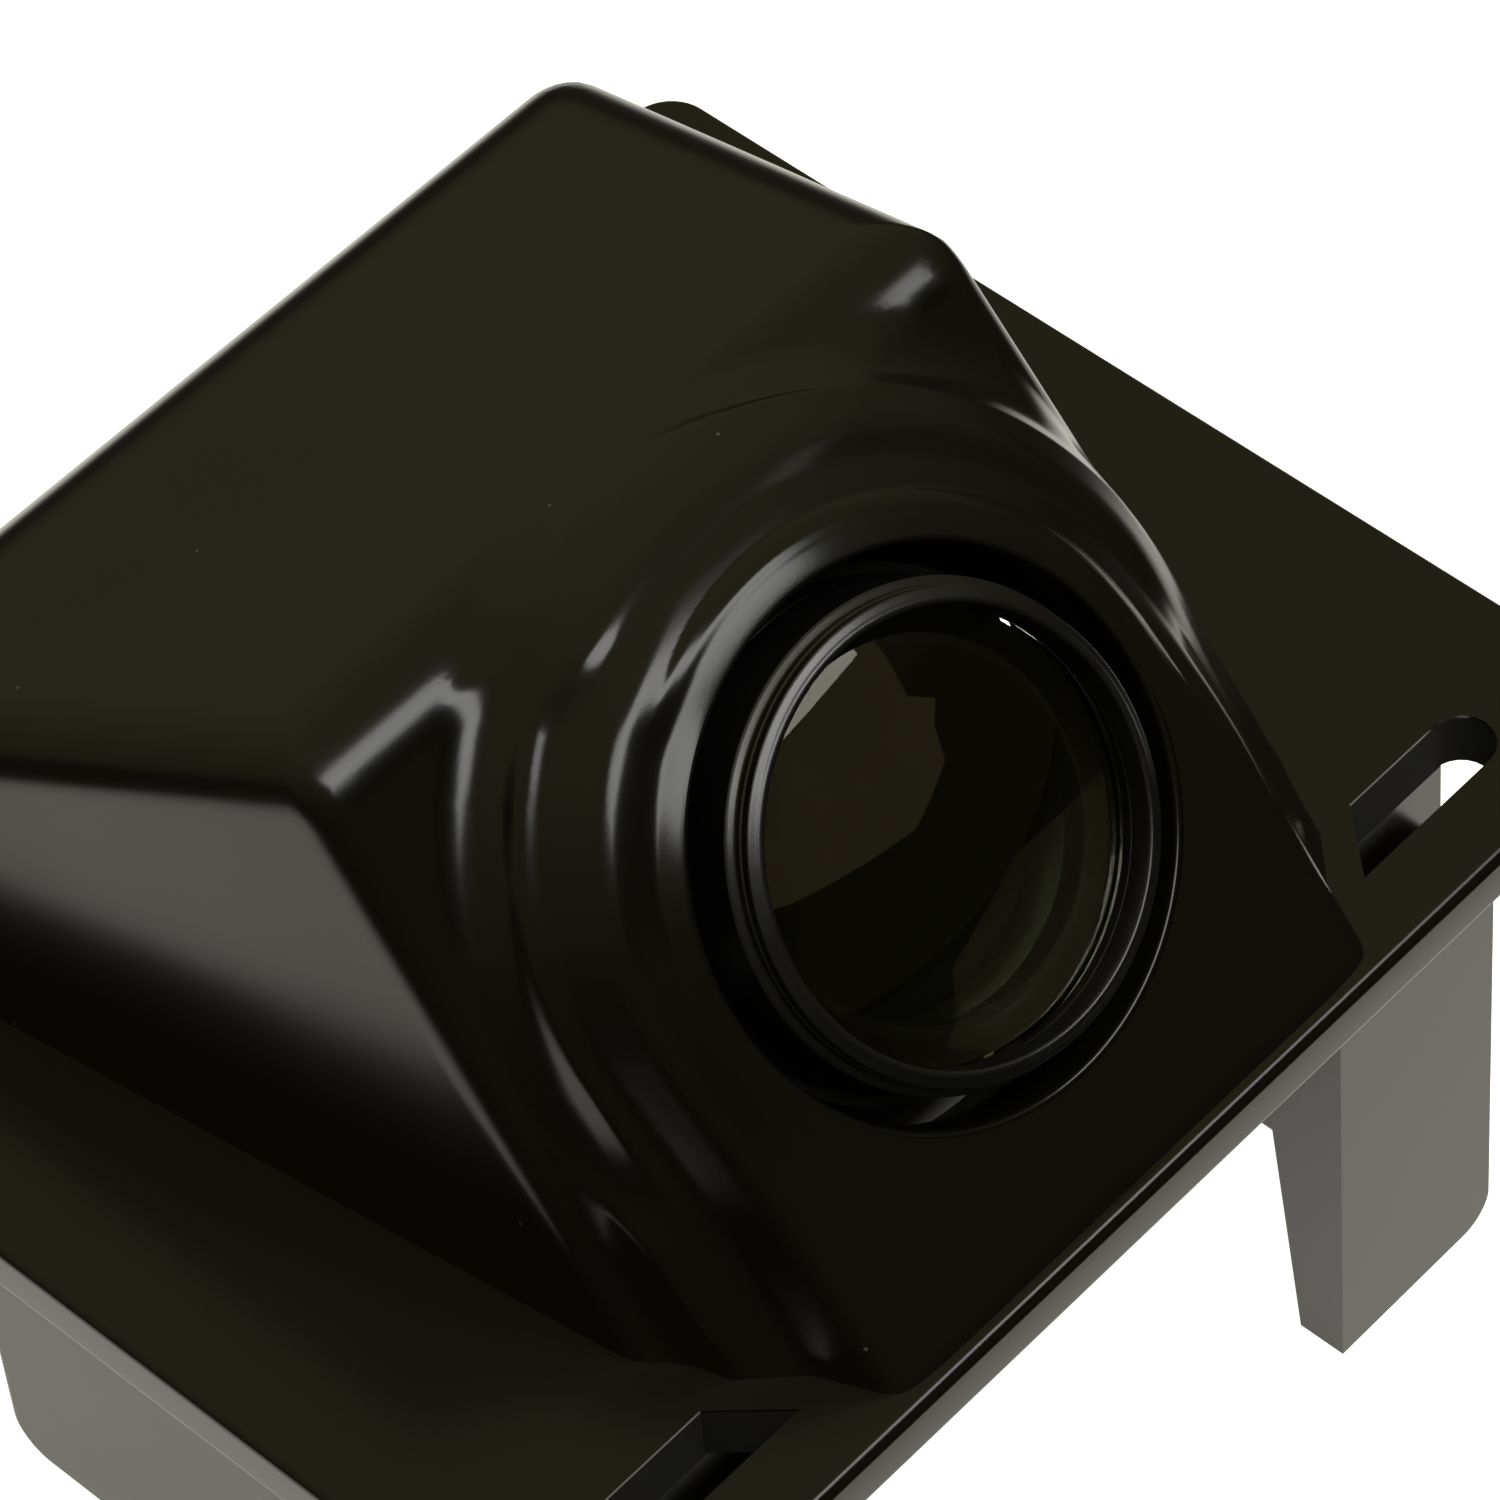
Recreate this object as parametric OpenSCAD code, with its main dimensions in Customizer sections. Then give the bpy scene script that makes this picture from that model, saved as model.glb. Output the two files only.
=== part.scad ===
// Vehicle backup camera: a wedge-shaped bezel on two snap legs, with a sealed
// camera module held inside it behind two screws.
// Millimetres, +Z up. The part stands on the feet of its legs, the lens looks
// towards -Y and up. The origin is under the middle of the plate, at foot level.

/* [Bezel plate] */
// Width of the plate, side to side
plate_w = 44; // [42:0.5:48]
// Depth of the plate, front to back
plate_d = 38.8; // [38.8:0.2:42]
// Thickness of the plate
plate_t = 2.0; // [1.6:0.1:2.4]
// Radius of the plate's upright corners
plate_corner_r = 1.5; // [1:0.1:3]

/* [Wedge hump] */
// Distance from the plate's front edge to the foot of the wedge's front face
face_foot_y = 6.0; // [5.8:0.1:6.4]
// Distance from the plate's front edge to the ridge, where face and roof meet
ridge_y = 18.07; // [17.6:0.01:18.6]
// Height of the ridge over the plate, before it is rounded
ridge_z = 15.95; // [15.5:0.05:16.6]
// Radius of the rounded ridge
ridge_r = 2.2; // [2:0.1:4]
// Distance from the plate's front edge to the roof's back edge
roof_back_y = 37.33; // [36.8:0.01:37.6]
// Height of the roof's back edge over the plate
roof_back_z = 6.82; // [6.4:0.02:7.2]
// Distance from the plate's front edge to the foot of the back wall
back_foot_y = 38.4; // [38:0.1:38.6]
// Half width of the wedge at the plate's front edge, before it spreads
side_half_w = 12.55; // [12.3:0.05:13]
// Spread of each side wall per millimetre towards the back
side_spread = 0.136; // [0.12:0.002:0.15]
// Lean of each side wall per millimetre of height, the moulding draft
side_draft = 0.153; // [0.12:0.001:0.17]
// Wall thickness of the wedge
hump_wall = 1.5; // [1.2:0.1:1.6]
// Radius of the wedge's rounded edges
hump_edge_r = 1.9; // [1.7:0.1:2.2]

/* [Lens boss] */
// Distance from the plate's front edge to the lens point, along Y
lens_y = 7.36; // [7.2:0.02:7.6]
// Height of the lens point over the plate
lens_z = 9.20; // [9:0.02:9.4]
// Angle of the optical axis from straight up
lens_tilt = 52.9; // [52:0.1:54]
// Radius of the boss at its front plane
boss_r = 9.3; // [9:0.1:9.6]
// Radius of the boss where it meets the wedge's front face
boss_root_r = 11.9; // [11.6:0.1:12.1]
// Height of the boss over the wedge's front face
boss_h = 4.47; // [4.2:0.01:4.6]
// Radius of the opening round the lens
lens_hole_r = 7.85; // [7.6:0.05:8.1]
// Radius of the pocket behind the opening
boss_pocket_r = 8.9; // [8.6:0.1:9]

/* [Snap legs] */
// Height of the plate's top over the feet
leg_h = 22; // [20:0.5:26]
// Distance from the plate's front edge to the legs' front face
leg_front_y = 2.45; // [2.3:0.05:2.6]
// Distance from the plate's front edge to the legs' back edge
leg_back_y = 31; // [30:0.5:32]
// Half distance over the legs' outer faces
leg_outer_x = 17.5; // [17.3:0.1:18]
// Half distance between the legs' front returns
leg_inner_x = 10.6; // [10.4:0.1:11]
// Thickness of the legs' side walls
leg_wall = 2; // [1.8:0.1:2.2]
// Thickness of the front return under the plate
return_top_t = 3.95; // [3.8:0.05:4.2]
// Thickness of the front return at the foot
return_foot_t = 1.65; // [1.5:0.05:1.9]
// Height of the snap notch that holds the panel's edge
notch_h = 3.4; // [3:0.1:4]
// Depth of the snap notch
notch_depth = 2.0; // [1.6:0.1:2]

/* [Plate slots] */
// Width of each slot, front to back
slot_w = 2.0; // [1.8:0.1:2]
// Inner end of a slot at its front edge, from the middle
slot_inner_front_x = 11.7; // [11.6:0.1:12]
// Inner end of a slot at its back edge, from the middle
slot_inner_back_x = 13.45; // [13.4:0.05:13.8]
// Outer end of a slot, from the middle
slot_outer_x = 18.2; // [18:0.1:18.6]

/* [Panel gasket] */
// Thickness of the foam gasket under the plate
gasket_t = 1.0; // [0.8:0.1:1.4]
// Distance from the plate's rim to the gasket
gasket_inset = 0.7; // [0.6:0.1:0.8]
// Width of the gasket's opening, outside the legs
gasket_hole_w = 38.6; // [38:0.2:39.6]

/* [Camera module] */
// Side length of the square module case
case_side = 16.4; // [16.2:0.1:16.6]
// Wall thickness of the case halves
case_wall = 1.1; // [1:0.05:1.2]
// Side length of the circuit boards
board_side = 13.4; // [13:0.1:13.6]
// Thickness of a circuit board
board_t = 1.0; // [0.8:0.1:1]
// Distance of the module's screws from the optical axis, along X
lug_x = 10.1; // [10:0.05:10.2]
// Height of the bezel screws over the axis, along the face
bezel_screw_v = 2.5; // [2:0.1:3]
// Drop of the case screws under the axis, along the face
case_screw_v = 5.5; // [5:0.1:5.6]
// Radius of the screws' pilot holes
pilot_r = 0.8; // [0.7:0.05:0.9]

/* [Lens] */
// Radius of the visible front glass
glass_r = 6.2; // [6:0.05:6.3]
// Radius of the barrel's front flange
flange_r = 6.95; // [6.8:0.05:7.2]
// Height of the glass ring over the boss plane
ring_front = 1.05; // [0.8:0.05:1.2]
// Radius of the barrel's focus thread
thread_r = 6.0; // [5.9:0.05:6]
// Radius of curvature of the front glass
glass_curve_r = 15; // [12:0.5:24]

/* [Connector] */
// Inner width of the connector socket
socket_w = 9; // [8:0.2:10]
// Inner height of the connector socket
socket_h = 6.6; // [6.4:0.1:7]
// Depth of the connector socket
socket_depth = 8.4; // [8:0.1:9]
// Wall thickness of the connector socket
socket_wall = 1.0; // [0.9:0.1:1.2]
// Number of contact pins, in one row
pin_count = 4; // [4:1:5]
// Width of a square contact pin
pin_w = 0.64; // [0.5:0.02:0.64]

/* [Hidden] */

// Smoothness of true round shapes, and of the balls inside a hull
fine = 96;
ball_fn = 32;
// Overlap that makes a cut or a union clean
cut = 0.5;
mould_black = "#26241b";
case_black = "#1c1c1c";
rubber_black = "#121212";
glass_tint = "#3a3f3a";
board_green = "#1f4d2e";
chip_black = "#161616";
steel = "#a9acb0";
gold = "#c9a227";

// Planes of the module, as distances along the optical axis from the boss plane
snout_front = -2.9;
flange_back = -2.2;
case_front = -6.3;
case_split = -13.5;
case_back = -20.5;
bore_floor = -9.5;
sensor_board_front = -13.0;
sensor_board_back = sensor_board_front - board_t;
header_h = 1.2;
main_board_front = sensor_board_back - 2 * header_h + 0.4;
main_board_back = main_board_front - board_t;
socket_mouth = case_back - socket_depth;
case_half = case_side / 2;
case_inside = case_side - 2 * case_wall;
snout_r = 7.35;
// Lens barrel: its outer steps, and its bore as [radius, back plane] from the front
barrel_rim = 0.3;
barrel_lip_r = 6.75;
ring_back = 0.6;
thread_back = -9.2;
barrel_tail_r = 5.2;
barrel_back = -11.0;
barrel_bore = [[6.4, 0.1], [glass_r + 0.02, -1.4], [4.9, -3.6], [4.3, -8.2], [3.4, -10.6], [2.6, -11.5]];
// Lens elements as [radius, back plane, front edge plane, radius of the front curve]
front_element = [glass_r - 0.02, -1.35, -0.2, glass_curve_r];
second_element = [4.8, -3.5, -2.6, 12];
third_element = [4.2, -6.9, -6.0, 9];
rear_element = [3.3, -10.5, -9.6, 8];
back_wall = 1.4;
seal_gap = 0.05;
pin_pitch = 2.0;
pin_v = -0.6;
pin_reach = 2.6;
// Lugs: the bezel screws' lugs lie in front of the case screws' lugs
bezel_lug_front = -8.0;
bezel_lug_back = -9.8;
case_lug_front = -10.2;
case_lug_back = -16.0;
lug_half_v = 1.8;
lug_outer_x = 11.6;
bezel_boss_r = 1.6;
bezel_boss_end = -5.2;
lug_hole_r = 1.1;
// Screws: the shank is a little thinner than its pilot hole
shank_gap = 0.02;
head_r = 1.65;
head_h = 1.2;
recess_depth = 0.6;
// Posts and screws of the sensor board, in two opposite corners
post_at = 5.4;
post_r = 1.3;
post_hole_r = 0.7;
small_head_r = 1.25;
small_head_h = 0.8;
// Corner points of the wedge seen from the side, run on under the plate
under = 5;
face_lean = (ridge_y - face_foot_y) / ridge_z;
back_lean = (back_foot_y - roof_back_y) / roof_back_z;
wedge = [
  [face_foot_y - under * face_lean, -under],
  [ridge_y, ridge_z],
  [roof_back_y, roof_back_z],
  [back_foot_y + under * back_lean, -under]
];
side_stretch = sqrt(1 + side_spread * side_spread + side_draft * side_draft);
slot_back_y = leg_front_y + slot_w;

// Half width of the wedge at a place on its side
function half_width(y, z) = side_half_w + side_spread * y - side_draft * z;
function unit(v) = v / norm(v);
// A corner of outline p moved inwards so that a ball of radius r touches both sides
function inset_corner(p, i, r) =
  let (a = unit(p[(i + 3) % 4] - p[i]), b = unit(p[(i + 1) % 4] - p[i]))
  p[i] + unit(a + b) * r / sqrt((1 - a * b) / 2);
function arc(cx, cy, r, from, to, steps = 8) =
  [for (i = [0:steps]) let (a = from + (to - from) * i / steps) [cx + r * cos(a), cy + r * sin(a)]];

// From plate coordinates (front edge of the plate's top) to the part's frame
module placed() {
  translate([0, -plate_d / 2, leg_h]) children();
}

// From lens coordinates (+Z out of the lens, +Y up the face) to plate coordinates
module on_face() {
  translate([0, lens_y, lens_z]) rotate([lens_tilt, 0, 0]) children();
}

// From lens coordinates to the part's frame
module on_axis() {
  placed() on_face() children();
}

// A disc or tube along the optical axis between two planes
module disc(r, back, front, r_in = 0) {
  difference() {
    translate([0, 0, back]) cylinder(r = r, h = front - back, $fn = fine);
    if (r_in > 0) translate([0, 0, back - cut]) cylinder(r = r_in, h = front - back + 2 * cut, $fn = fine);
  }
}

// A box centred on the optical axis between two planes
module block(w, h, back, front, x = 0, v = 0) {
  translate([x - w / 2, v - h / 2, back]) cube([w, h, front - back]);
}

module both_sides() {
  children();
  mirror([1, 0, 0]) children();
}

// The two places of the bezel screws, in plate coordinates
module at_bezel_screws() {
  on_face() both_sides() translate([lug_x, bezel_screw_v, 0]) children();
}

// Centres of the balls that round the wedge's edges, with an arc of them along the ridge
face_angle = 180 - atan2(ridge_y - face_foot_y, ridge_z);
roof_angle = 90 - atan2(ridge_z - roof_back_z, roof_back_y - ridge_y);
ridge_centre = inset_corner(wedge, 1, ridge_r);
ball_places = concat(
  arc(ridge_centre[0], ridge_centre[1], ridge_r - hump_edge_r, face_angle, roof_angle, 6),
  [for (i = [0, 2, 3]) inset_corner(wedge, i, hump_edge_r)]
);

// The wedge with rounded edges, as the hull of its balls
module wedge_form(ball_r) {
  hull() for (c = ball_places) for (s = [-1, 1])
    translate([s * (half_width(c[0], c[1]) - hump_edge_r * side_stretch), c[0], c[1]])
      sphere(r = ball_r, $fn = ball_fn);
}

// Everything over the plate's underside
module above(z) {
  translate([-plate_w, -plate_d, z]) cube([2 * plate_w, 3 * plate_d, 3 * leg_h]);
}

module plate_blank() {
  inner = plate_corner_r;
  translate([-plate_w / 2, inner, -plate_t]) cube([plate_w, plate_d - 2 * inner, plate_t]);
  translate([inner - plate_w / 2, 0, -plate_t]) cube([plate_w - 2 * inner, plate_d, plate_t]);
  both_sides() for (y = [inner, plate_d - inner])
    translate([plate_w / 2 - inner, y, -plate_t]) cylinder(r = inner, h = plate_t, $fn = fine);
}

// Round at the top, with leaning straight sides that run down to the plate
module boss_form() {
  run_on = 2.5;
  slope = (boss_root_r - boss_r) / boss_h;
  deep = boss_h + run_on;
  root = boss_r + slope * deep;
  on_face() {
    translate([0, 0, -deep]) cylinder(r1 = root, r2 = boss_r, h = deep, $fn = fine);
    rotate([90, 0, 0]) linear_extrude(height = 2 * boss_root_r)
      polygon([[-root, -deep], [root, -deep], [boss_r, 0], [-boss_r, 0]]);
  }
}

// The half space under the roof, run on forwards
module under_roof() {
  translate([0, ridge_y, ridge_z]) rotate([roof_angle - 90, 0, 0])
    translate([-plate_w, -plate_d, -2 * leg_h]) cube([2 * plate_w, 2 * plate_d, 2 * leg_h]);
}

module slot_outline() {
  r = slot_w / 2;
  polygon(concat(
    [[slot_inner_back_x, slot_back_y], [slot_inner_front_x, leg_front_y]],
    arc(slot_outer_x - r, leg_front_y + r, r, -90, 90)
  ));
}

// Side wall seen from the side: a long rectangle with two rounded feet
module leg_side() {
  r = 1.5;
  rotate([90, 0, 90]) linear_extrude(height = leg_wall)
    polygon(concat(
      [[leg_back_y, -plate_t / 2]],
      [[leg_front_y, -plate_t / 2]],
      arc(leg_front_y + r, r - leg_h, r, 180, 270),
      arc(leg_back_y - r, r - leg_h, r, 270, 360)
    ));
}

// Front return: a wall across the front of the leg that gets thinner to the foot
module leg_return() {
  r = 1.2;
  w = leg_outer_x - leg_inner_x;
  side = [
    [leg_front_y, -plate_t / 2], [leg_front_y, -leg_h],
    [leg_front_y + return_foot_t, -leg_h], [leg_front_y + return_top_t, -plate_t / 2]
  ];
  front = concat([[w, 0], [0, 0], [0, -leg_h]], arc(w - r, r - leg_h, r, 270, 360));
  intersection() {
    rotate([90, 0, 90]) linear_extrude(height = w) polygon(side);
    translate([0, leg_front_y + 2 * return_top_t, 0]) rotate([90, 0, 0])
      linear_extrude(height = 3 * return_top_t) polygon(front);
  }
}

module leg() {
  r = 1.0;
  difference() {
    union() {
      translate([leg_outer_x - leg_wall, 0, 0]) leg_side();
      translate([leg_inner_x, 0, 0]) leg_return();
    }
    // rounded outer front edge
    translate([leg_outer_x - r, leg_front_y + r, -leg_h - cut]) difference() {
      translate([0, -r - cut, 0]) cube([r + cut, r + cut, leg_h]);
      translate([0, 0, -cut]) cylinder(r = r, h = leg_h + 2 * cut, $fn = fine);
    }
    // snap notch for the panel's edge, under the slot
    translate([leg_inner_x - cut, leg_front_y - cut, -plate_t - notch_h])
      cube([leg_outer_x - leg_inner_x + 2 * cut, notch_depth + cut, notch_h]);
    // the same at the back edge
    translate([leg_outer_x - leg_wall - cut, leg_back_y - notch_depth, -plate_t - notch_h])
      cube([leg_wall + 2 * cut, notch_depth + cut, notch_h]);
  }
}

// The one-piece moulding without its screw bosses
module bezel_shell() {
  boss_foot_y = 0.3;
  difference() {
    union() {
      plate_blank();
      intersection() {
        wedge_form(hump_edge_r);
        above(-plate_t);
      }
      intersection() {
        boss_form();
        under_roof();
        translate([-plate_w / 2, boss_foot_y, -cut]) cube([plate_w, plate_d, leg_h]);
      }
      both_sides() leg();
    }
    wedge_form(hump_edge_r - hump_wall);
    on_face() {
      disc(lens_hole_r, case_front, cut);
      disc(boss_pocket_r, case_front, flange_back);
    }
    both_sides() translate([0, 0, -plate_t - cut])
      linear_extrude(height = plate_t + 2 * cut) slot_outline();
  }
}

module bezel() {
  color(mould_black) placed() difference() {
    union() {
      bezel_shell();
      at_bezel_screws() disc(bezel_boss_r, bezel_lug_front, bezel_boss_end);
    }
    at_bezel_screws() disc(pilot_r, bezel_lug_front - cut, bezel_boss_end);
  }
}

module panel_gasket() {
  hole_front_y = leg_front_y - 0.25;
  hole_back_y = plate_d - 1.65;
  color(rubber_black) placed() translate([0, 0, -plate_t - gasket_t]) difference() {
    translate([gasket_inset - plate_w / 2, gasket_inset, 0])
      cube([plate_w - 2 * gasket_inset, plate_d - 2 * gasket_inset, gasket_t]);
    translate([-gasket_hole_w / 2, hole_front_y, -cut])
      cube([gasket_hole_w, hole_back_y - hole_front_y, gasket_t + 2 * cut]);
  }
}

// Pan head screw along the optical axis, with a cross recess in its head
module pan_screw(r, under_head, tip, r_head = head_r, h_head = head_h) {
  difference() {
    union() {
      disc(r, under_head, tip);
      disc(r_head, under_head - h_head, under_head);
    }
    for (a = [0, 90]) rotate([0, 0, a])
      block(1.1 * r_head, 0.4, under_head - h_head - cut, under_head - h_head + recess_depth);
  }
}

// Two screws that hold the camera module in the bezel
module bezel_screws() {
  tip_gap = 0.2;
  color(steel) placed() at_bezel_screws()
    pan_screw(pilot_r - shank_gap, bezel_lug_back, bezel_boss_end - tip_gap);
}

// A screw lug on each side of the case, at height v over the axis
module side_lugs(v, back, front) {
  overlap = 1;
  w = lug_outer_x - case_half + overlap;
  for (s = [-1, 1]) block(w, 2 * lug_half_v, back, front, s * (lug_outer_x - w / 2), v);
}

// Two opposite corners of the boards
module at_posts() {
  for (s = [-1, 1]) translate([s * post_at, s * post_at, 0]) children();
}

module front_case() {
  color(case_black) on_axis() difference() {
    union() {
      disc(snout_r, case_front - cut, snout_front);
      block(case_side, case_side, case_split, case_front);
      side_lugs(bezel_screw_v, bezel_lug_back, bezel_lug_front);
      side_lugs(-case_screw_v, case_split, case_lug_front);
    }
    disc(thread_r + 0.3, bore_floor - cut, snout_front + cut);
    difference() {
      block(case_inside, case_inside, case_split - cut, bore_floor);
      at_posts() disc(post_r, sensor_board_front, bore_floor + cut);
    }
    at_posts() disc(post_hole_r, sensor_board_front - cut, bore_floor - 0.5);
    both_sides() {
      translate([lug_x, bezel_screw_v, 0]) disc(lug_hole_r, bezel_lug_back - cut, bezel_lug_front + cut);
      translate([lug_x, -case_screw_v, 0]) disc(pilot_r, case_split - cut, case_lug_front - 0.6);
    }
  }
}

module rear_case() {
  key_x = 2.4;
  color(case_black) on_axis() difference() {
    union() {
      block(case_side, case_side, case_back, case_split);
      block(socket_w + 2 * socket_wall, socket_h + 2 * socket_wall, socket_mouth, case_back + cut);
      side_lugs(-case_screw_v, case_lug_back, case_split);
    }
    block(case_inside, case_inside, case_back + back_wall, case_split + cut);
    block(socket_w, socket_h, socket_mouth - cut, case_back);
    // keyways in the socket's roof
    for (s = [-1, 1]) block(1.2, 0.6, socket_mouth - cut, case_back - 2, s * key_x, socket_h / 2);
    for (i = [0:pin_count - 1]) pin_place(i) block(pin_w, pin_w, case_back - cut, case_back + 2);
    seal_ring(seal_gap, case_split - 0.5, case_split + cut);
    both_sides() translate([lug_x, -case_screw_v, 0]) disc(lug_hole_r, case_lug_back - cut, case_split + cut);
  }
}

// Square ring between the case halves, wider by the gap on both sides
module seal_ring(gap, back, front) {
  outer = case_side - 0.7 + 2 * gap;
  inner = case_side - 1.5 - 2 * gap;
  difference() {
    block(outer, outer, back, front);
    block(inner, inner, back - cut, front + cut);
  }
}

module case_seal() {
  color("#7a2f1d") on_axis() seal_ring(0, case_split - 0.45, case_split);
}

module case_screws() {
  color(steel) on_axis() both_sides() translate([lug_x, -case_screw_v, 0])
    pan_screw(pilot_r - shank_gap, case_lug_back, case_lug_front - 0.9);
}

module lens_o_ring() {
  section_r = 0.3;
  color(rubber_black) on_axis() translate([0, 0, snout_front + section_r])
    rotate_extrude($fn = fine) translate([6.75, 0]) circle(r = section_r, $fn = 24);
}

module lens_barrel() {
  color(case_black) on_axis() difference() {
    union() {
      disc(flange_r, flange_back, barrel_rim);
      disc(barrel_lip_r, 0, ring_back);
      disc(thread_r, thread_back, flange_back + cut);
      disc(barrel_tail_r, barrel_back, thread_back + cut);
    }
    for (step = barrel_bore) disc(step[0], step[1], ring_front);
  }
}

// The lip that holds the front glass down in the barrel
module lens_retaining_ring() {
  lip_back = 0.15;
  shoulder = 0.9;
  ring_r = 6.7;
  color(case_black) on_axis() difference() {
    union() {
      disc(ring_r, ring_back, shoulder);
      translate([0, 0, shoulder]) cylinder(r1 = ring_r, r2 = 6.45, h = ring_front - shoulder, $fn = fine);
      disc(6.35, lip_back, shoulder);
    }
    disc(glass_r, lip_back - cut, ring_front + cut);
  }
}

// A lens element: a disc whose front is a cap of a large ball
module dome_lens(element) {
  r = element[0];
  back = element[1];
  edge = element[2];
  curve_r = element[3];
  sag = curve_r - sqrt(curve_r * curve_r - r * r);
  intersection() {
    disc(r, back, edge + sag);
    translate([0, 0, edge + sag - curve_r]) rotate_extrude($fn = fine) intersection() {
      circle(r = curve_r, $fn = 180);
      translate([0, -curve_r]) square([curve_r, 2 * curve_r]);
    }
  }
}

module front_lens() {
  color(glass_tint) on_axis() dome_lens(front_element);
}

module second_lens() {
  color(glass_tint) on_axis() dome_lens(second_element);
}

module aperture_stop() {
  color(chip_black) on_axis() disc(4.25, -4.7, -4.3, 1.2);
}

module third_lens() {
  color(glass_tint) on_axis() dome_lens(third_element);
}

module lens_spacer() {
  color(chip_black) on_axis() disc(4.25, -8.1, -7.0, 3.2);
}

module rear_lens() {
  color(glass_tint) on_axis() dome_lens(rear_element);
}

module ir_filter() {
  color("#8fb7c4") on_axis() disc(4.6, -11.35, -11.05);
}

module sensor_glass() {
  color(glass_tint) on_axis() block(6.0, 5.2, -12.1, -11.8);
}

module image_sensor() {
  color(chip_black) on_axis() block(7.4, 6.4, sensor_board_front + 0.02, -12.12);
}

module board(back, front) {
  difference() {
    block(board_side, board_side, back, front);
    at_posts() disc(post_hole_r + 0.15, back - cut, front + cut);
  }
}

module sensor_board() {
  color(board_green) on_axis() board(sensor_board_back, sensor_board_front);
}

module sensor_board_parts() {
  color("#b8a27a") on_axis() {
    for (i = [-2:2]) block(1.0, 0.5, sensor_board_front, sensor_board_front + 0.5, i * 1.6, -5.4);
    for (i = [-2:1]) block(0.5, 1.0, sensor_board_front, sensor_board_front + 0.5, -5.6, i * 1.6);
  }
}

// Two screws that hold the sensor board to the front case's posts
module board_screws() {
  color(steel) on_axis() at_posts()
    pan_screw(post_hole_r - shank_gap, sensor_board_back, bore_floor - 0.7, small_head_r, small_head_h);
}

module board_header() {
  color("#d8d2c0") on_axis() block(6.4, 2.2, sensor_board_back - header_h, sensor_board_back, 0, 3.4);
}

module board_socket() {
  color("#2c2c2c") on_axis()
    block(7.0, 2.8, main_board_front, sensor_board_back - header_h, 0, 3.4);
}

module main_board() {
  color(board_green) on_axis() board(main_board_back, main_board_front);
}

module video_processor() {
  color(chip_black) on_axis() block(5, 5, main_board_back - 0.9, main_board_back, -3.2, 3.4);
}

module main_board_parts() {
  color("#b8a27a") on_axis() {
    for (i = [0:3]) block(0.6, 1.1, main_board_back - 0.6, main_board_back, 1.6 + 1.3 * i, 5.2);
    block(2.6, 2.6, main_board_back - 1.2, main_board_back, 4.2, 2.4);
  }
}

// Thin metal can round the boards, open towards the sensor
module emi_shield() {
  sheet = 0.18;
  outer = case_inside - 0.1;
  back = case_back + back_wall + 0.1;
  color(steel) on_axis() difference() {
    block(outer, outer, back, sensor_board_back - 0.3);
    block(outer - 2 * sheet, outer - 2 * sheet, back + sheet, sensor_board_back);
    block(9.5, 3, back - cut, back + 2 * sheet, 0, pin_v);
  }
}

// Contact pins stand in one row below the middle of the socket
module pin_place(i) {
  translate([(i - (pin_count - 1) / 2) * pin_pitch, pin_v, 0]) children();
}

module contact_pins() {
  color(gold) on_axis() for (i = [0:pin_count - 1]) pin_place(i)
    block(pin_w, pin_w, case_back - pin_reach, main_board_back);
}

bezel();
panel_gasket();
bezel_screws();
front_case();
rear_case();
case_seal();
case_screws();
lens_o_ring();
lens_barrel();
lens_retaining_ring();
front_lens();
second_lens();
aperture_stop();
third_lens();
lens_spacer();
rear_lens();
ir_filter();
sensor_glass();
image_sensor();
sensor_board();
sensor_board_parts();
board_screws();
board_header();
board_socket();
main_board();
video_processor();
main_board_parts();
emi_shield();
contact_pins();
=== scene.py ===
"""Looks of a vehicle backup camera: a moulded black bezel on two snap legs round a sealed camera module."""

import math

import bmesh
import bpy
import numpy as np
from bpy.props import FloatProperty, FloatVectorProperty, IntProperty, PointerProperty
from mathutils import Matrix, Vector


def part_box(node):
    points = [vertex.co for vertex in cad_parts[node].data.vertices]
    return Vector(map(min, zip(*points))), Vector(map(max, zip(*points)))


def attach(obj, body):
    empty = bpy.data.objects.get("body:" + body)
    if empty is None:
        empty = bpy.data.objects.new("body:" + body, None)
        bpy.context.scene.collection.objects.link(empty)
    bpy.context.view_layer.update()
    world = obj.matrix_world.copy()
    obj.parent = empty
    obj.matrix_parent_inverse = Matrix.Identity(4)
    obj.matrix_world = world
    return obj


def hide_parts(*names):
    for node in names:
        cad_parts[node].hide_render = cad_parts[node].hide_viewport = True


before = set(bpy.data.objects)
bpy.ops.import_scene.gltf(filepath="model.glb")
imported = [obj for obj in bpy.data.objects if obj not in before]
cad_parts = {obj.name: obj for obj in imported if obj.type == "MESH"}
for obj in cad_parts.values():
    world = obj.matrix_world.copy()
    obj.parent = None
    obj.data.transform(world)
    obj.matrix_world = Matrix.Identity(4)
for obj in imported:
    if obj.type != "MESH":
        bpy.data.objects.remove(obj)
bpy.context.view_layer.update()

bl_info = {
    "name": "Backup camera",
    "version": (1, 0, 0),
    "blender": (4, 5, 0),
    "location": "View3D > Sidebar > Backup camera",
    "description": "Builds the looks of a backup camera round its packed frame",
    "category": "Object",
}

MM = 0.001
BEZEL_LOW, BEZEL_HIGH = (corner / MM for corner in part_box("bezel"))

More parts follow.
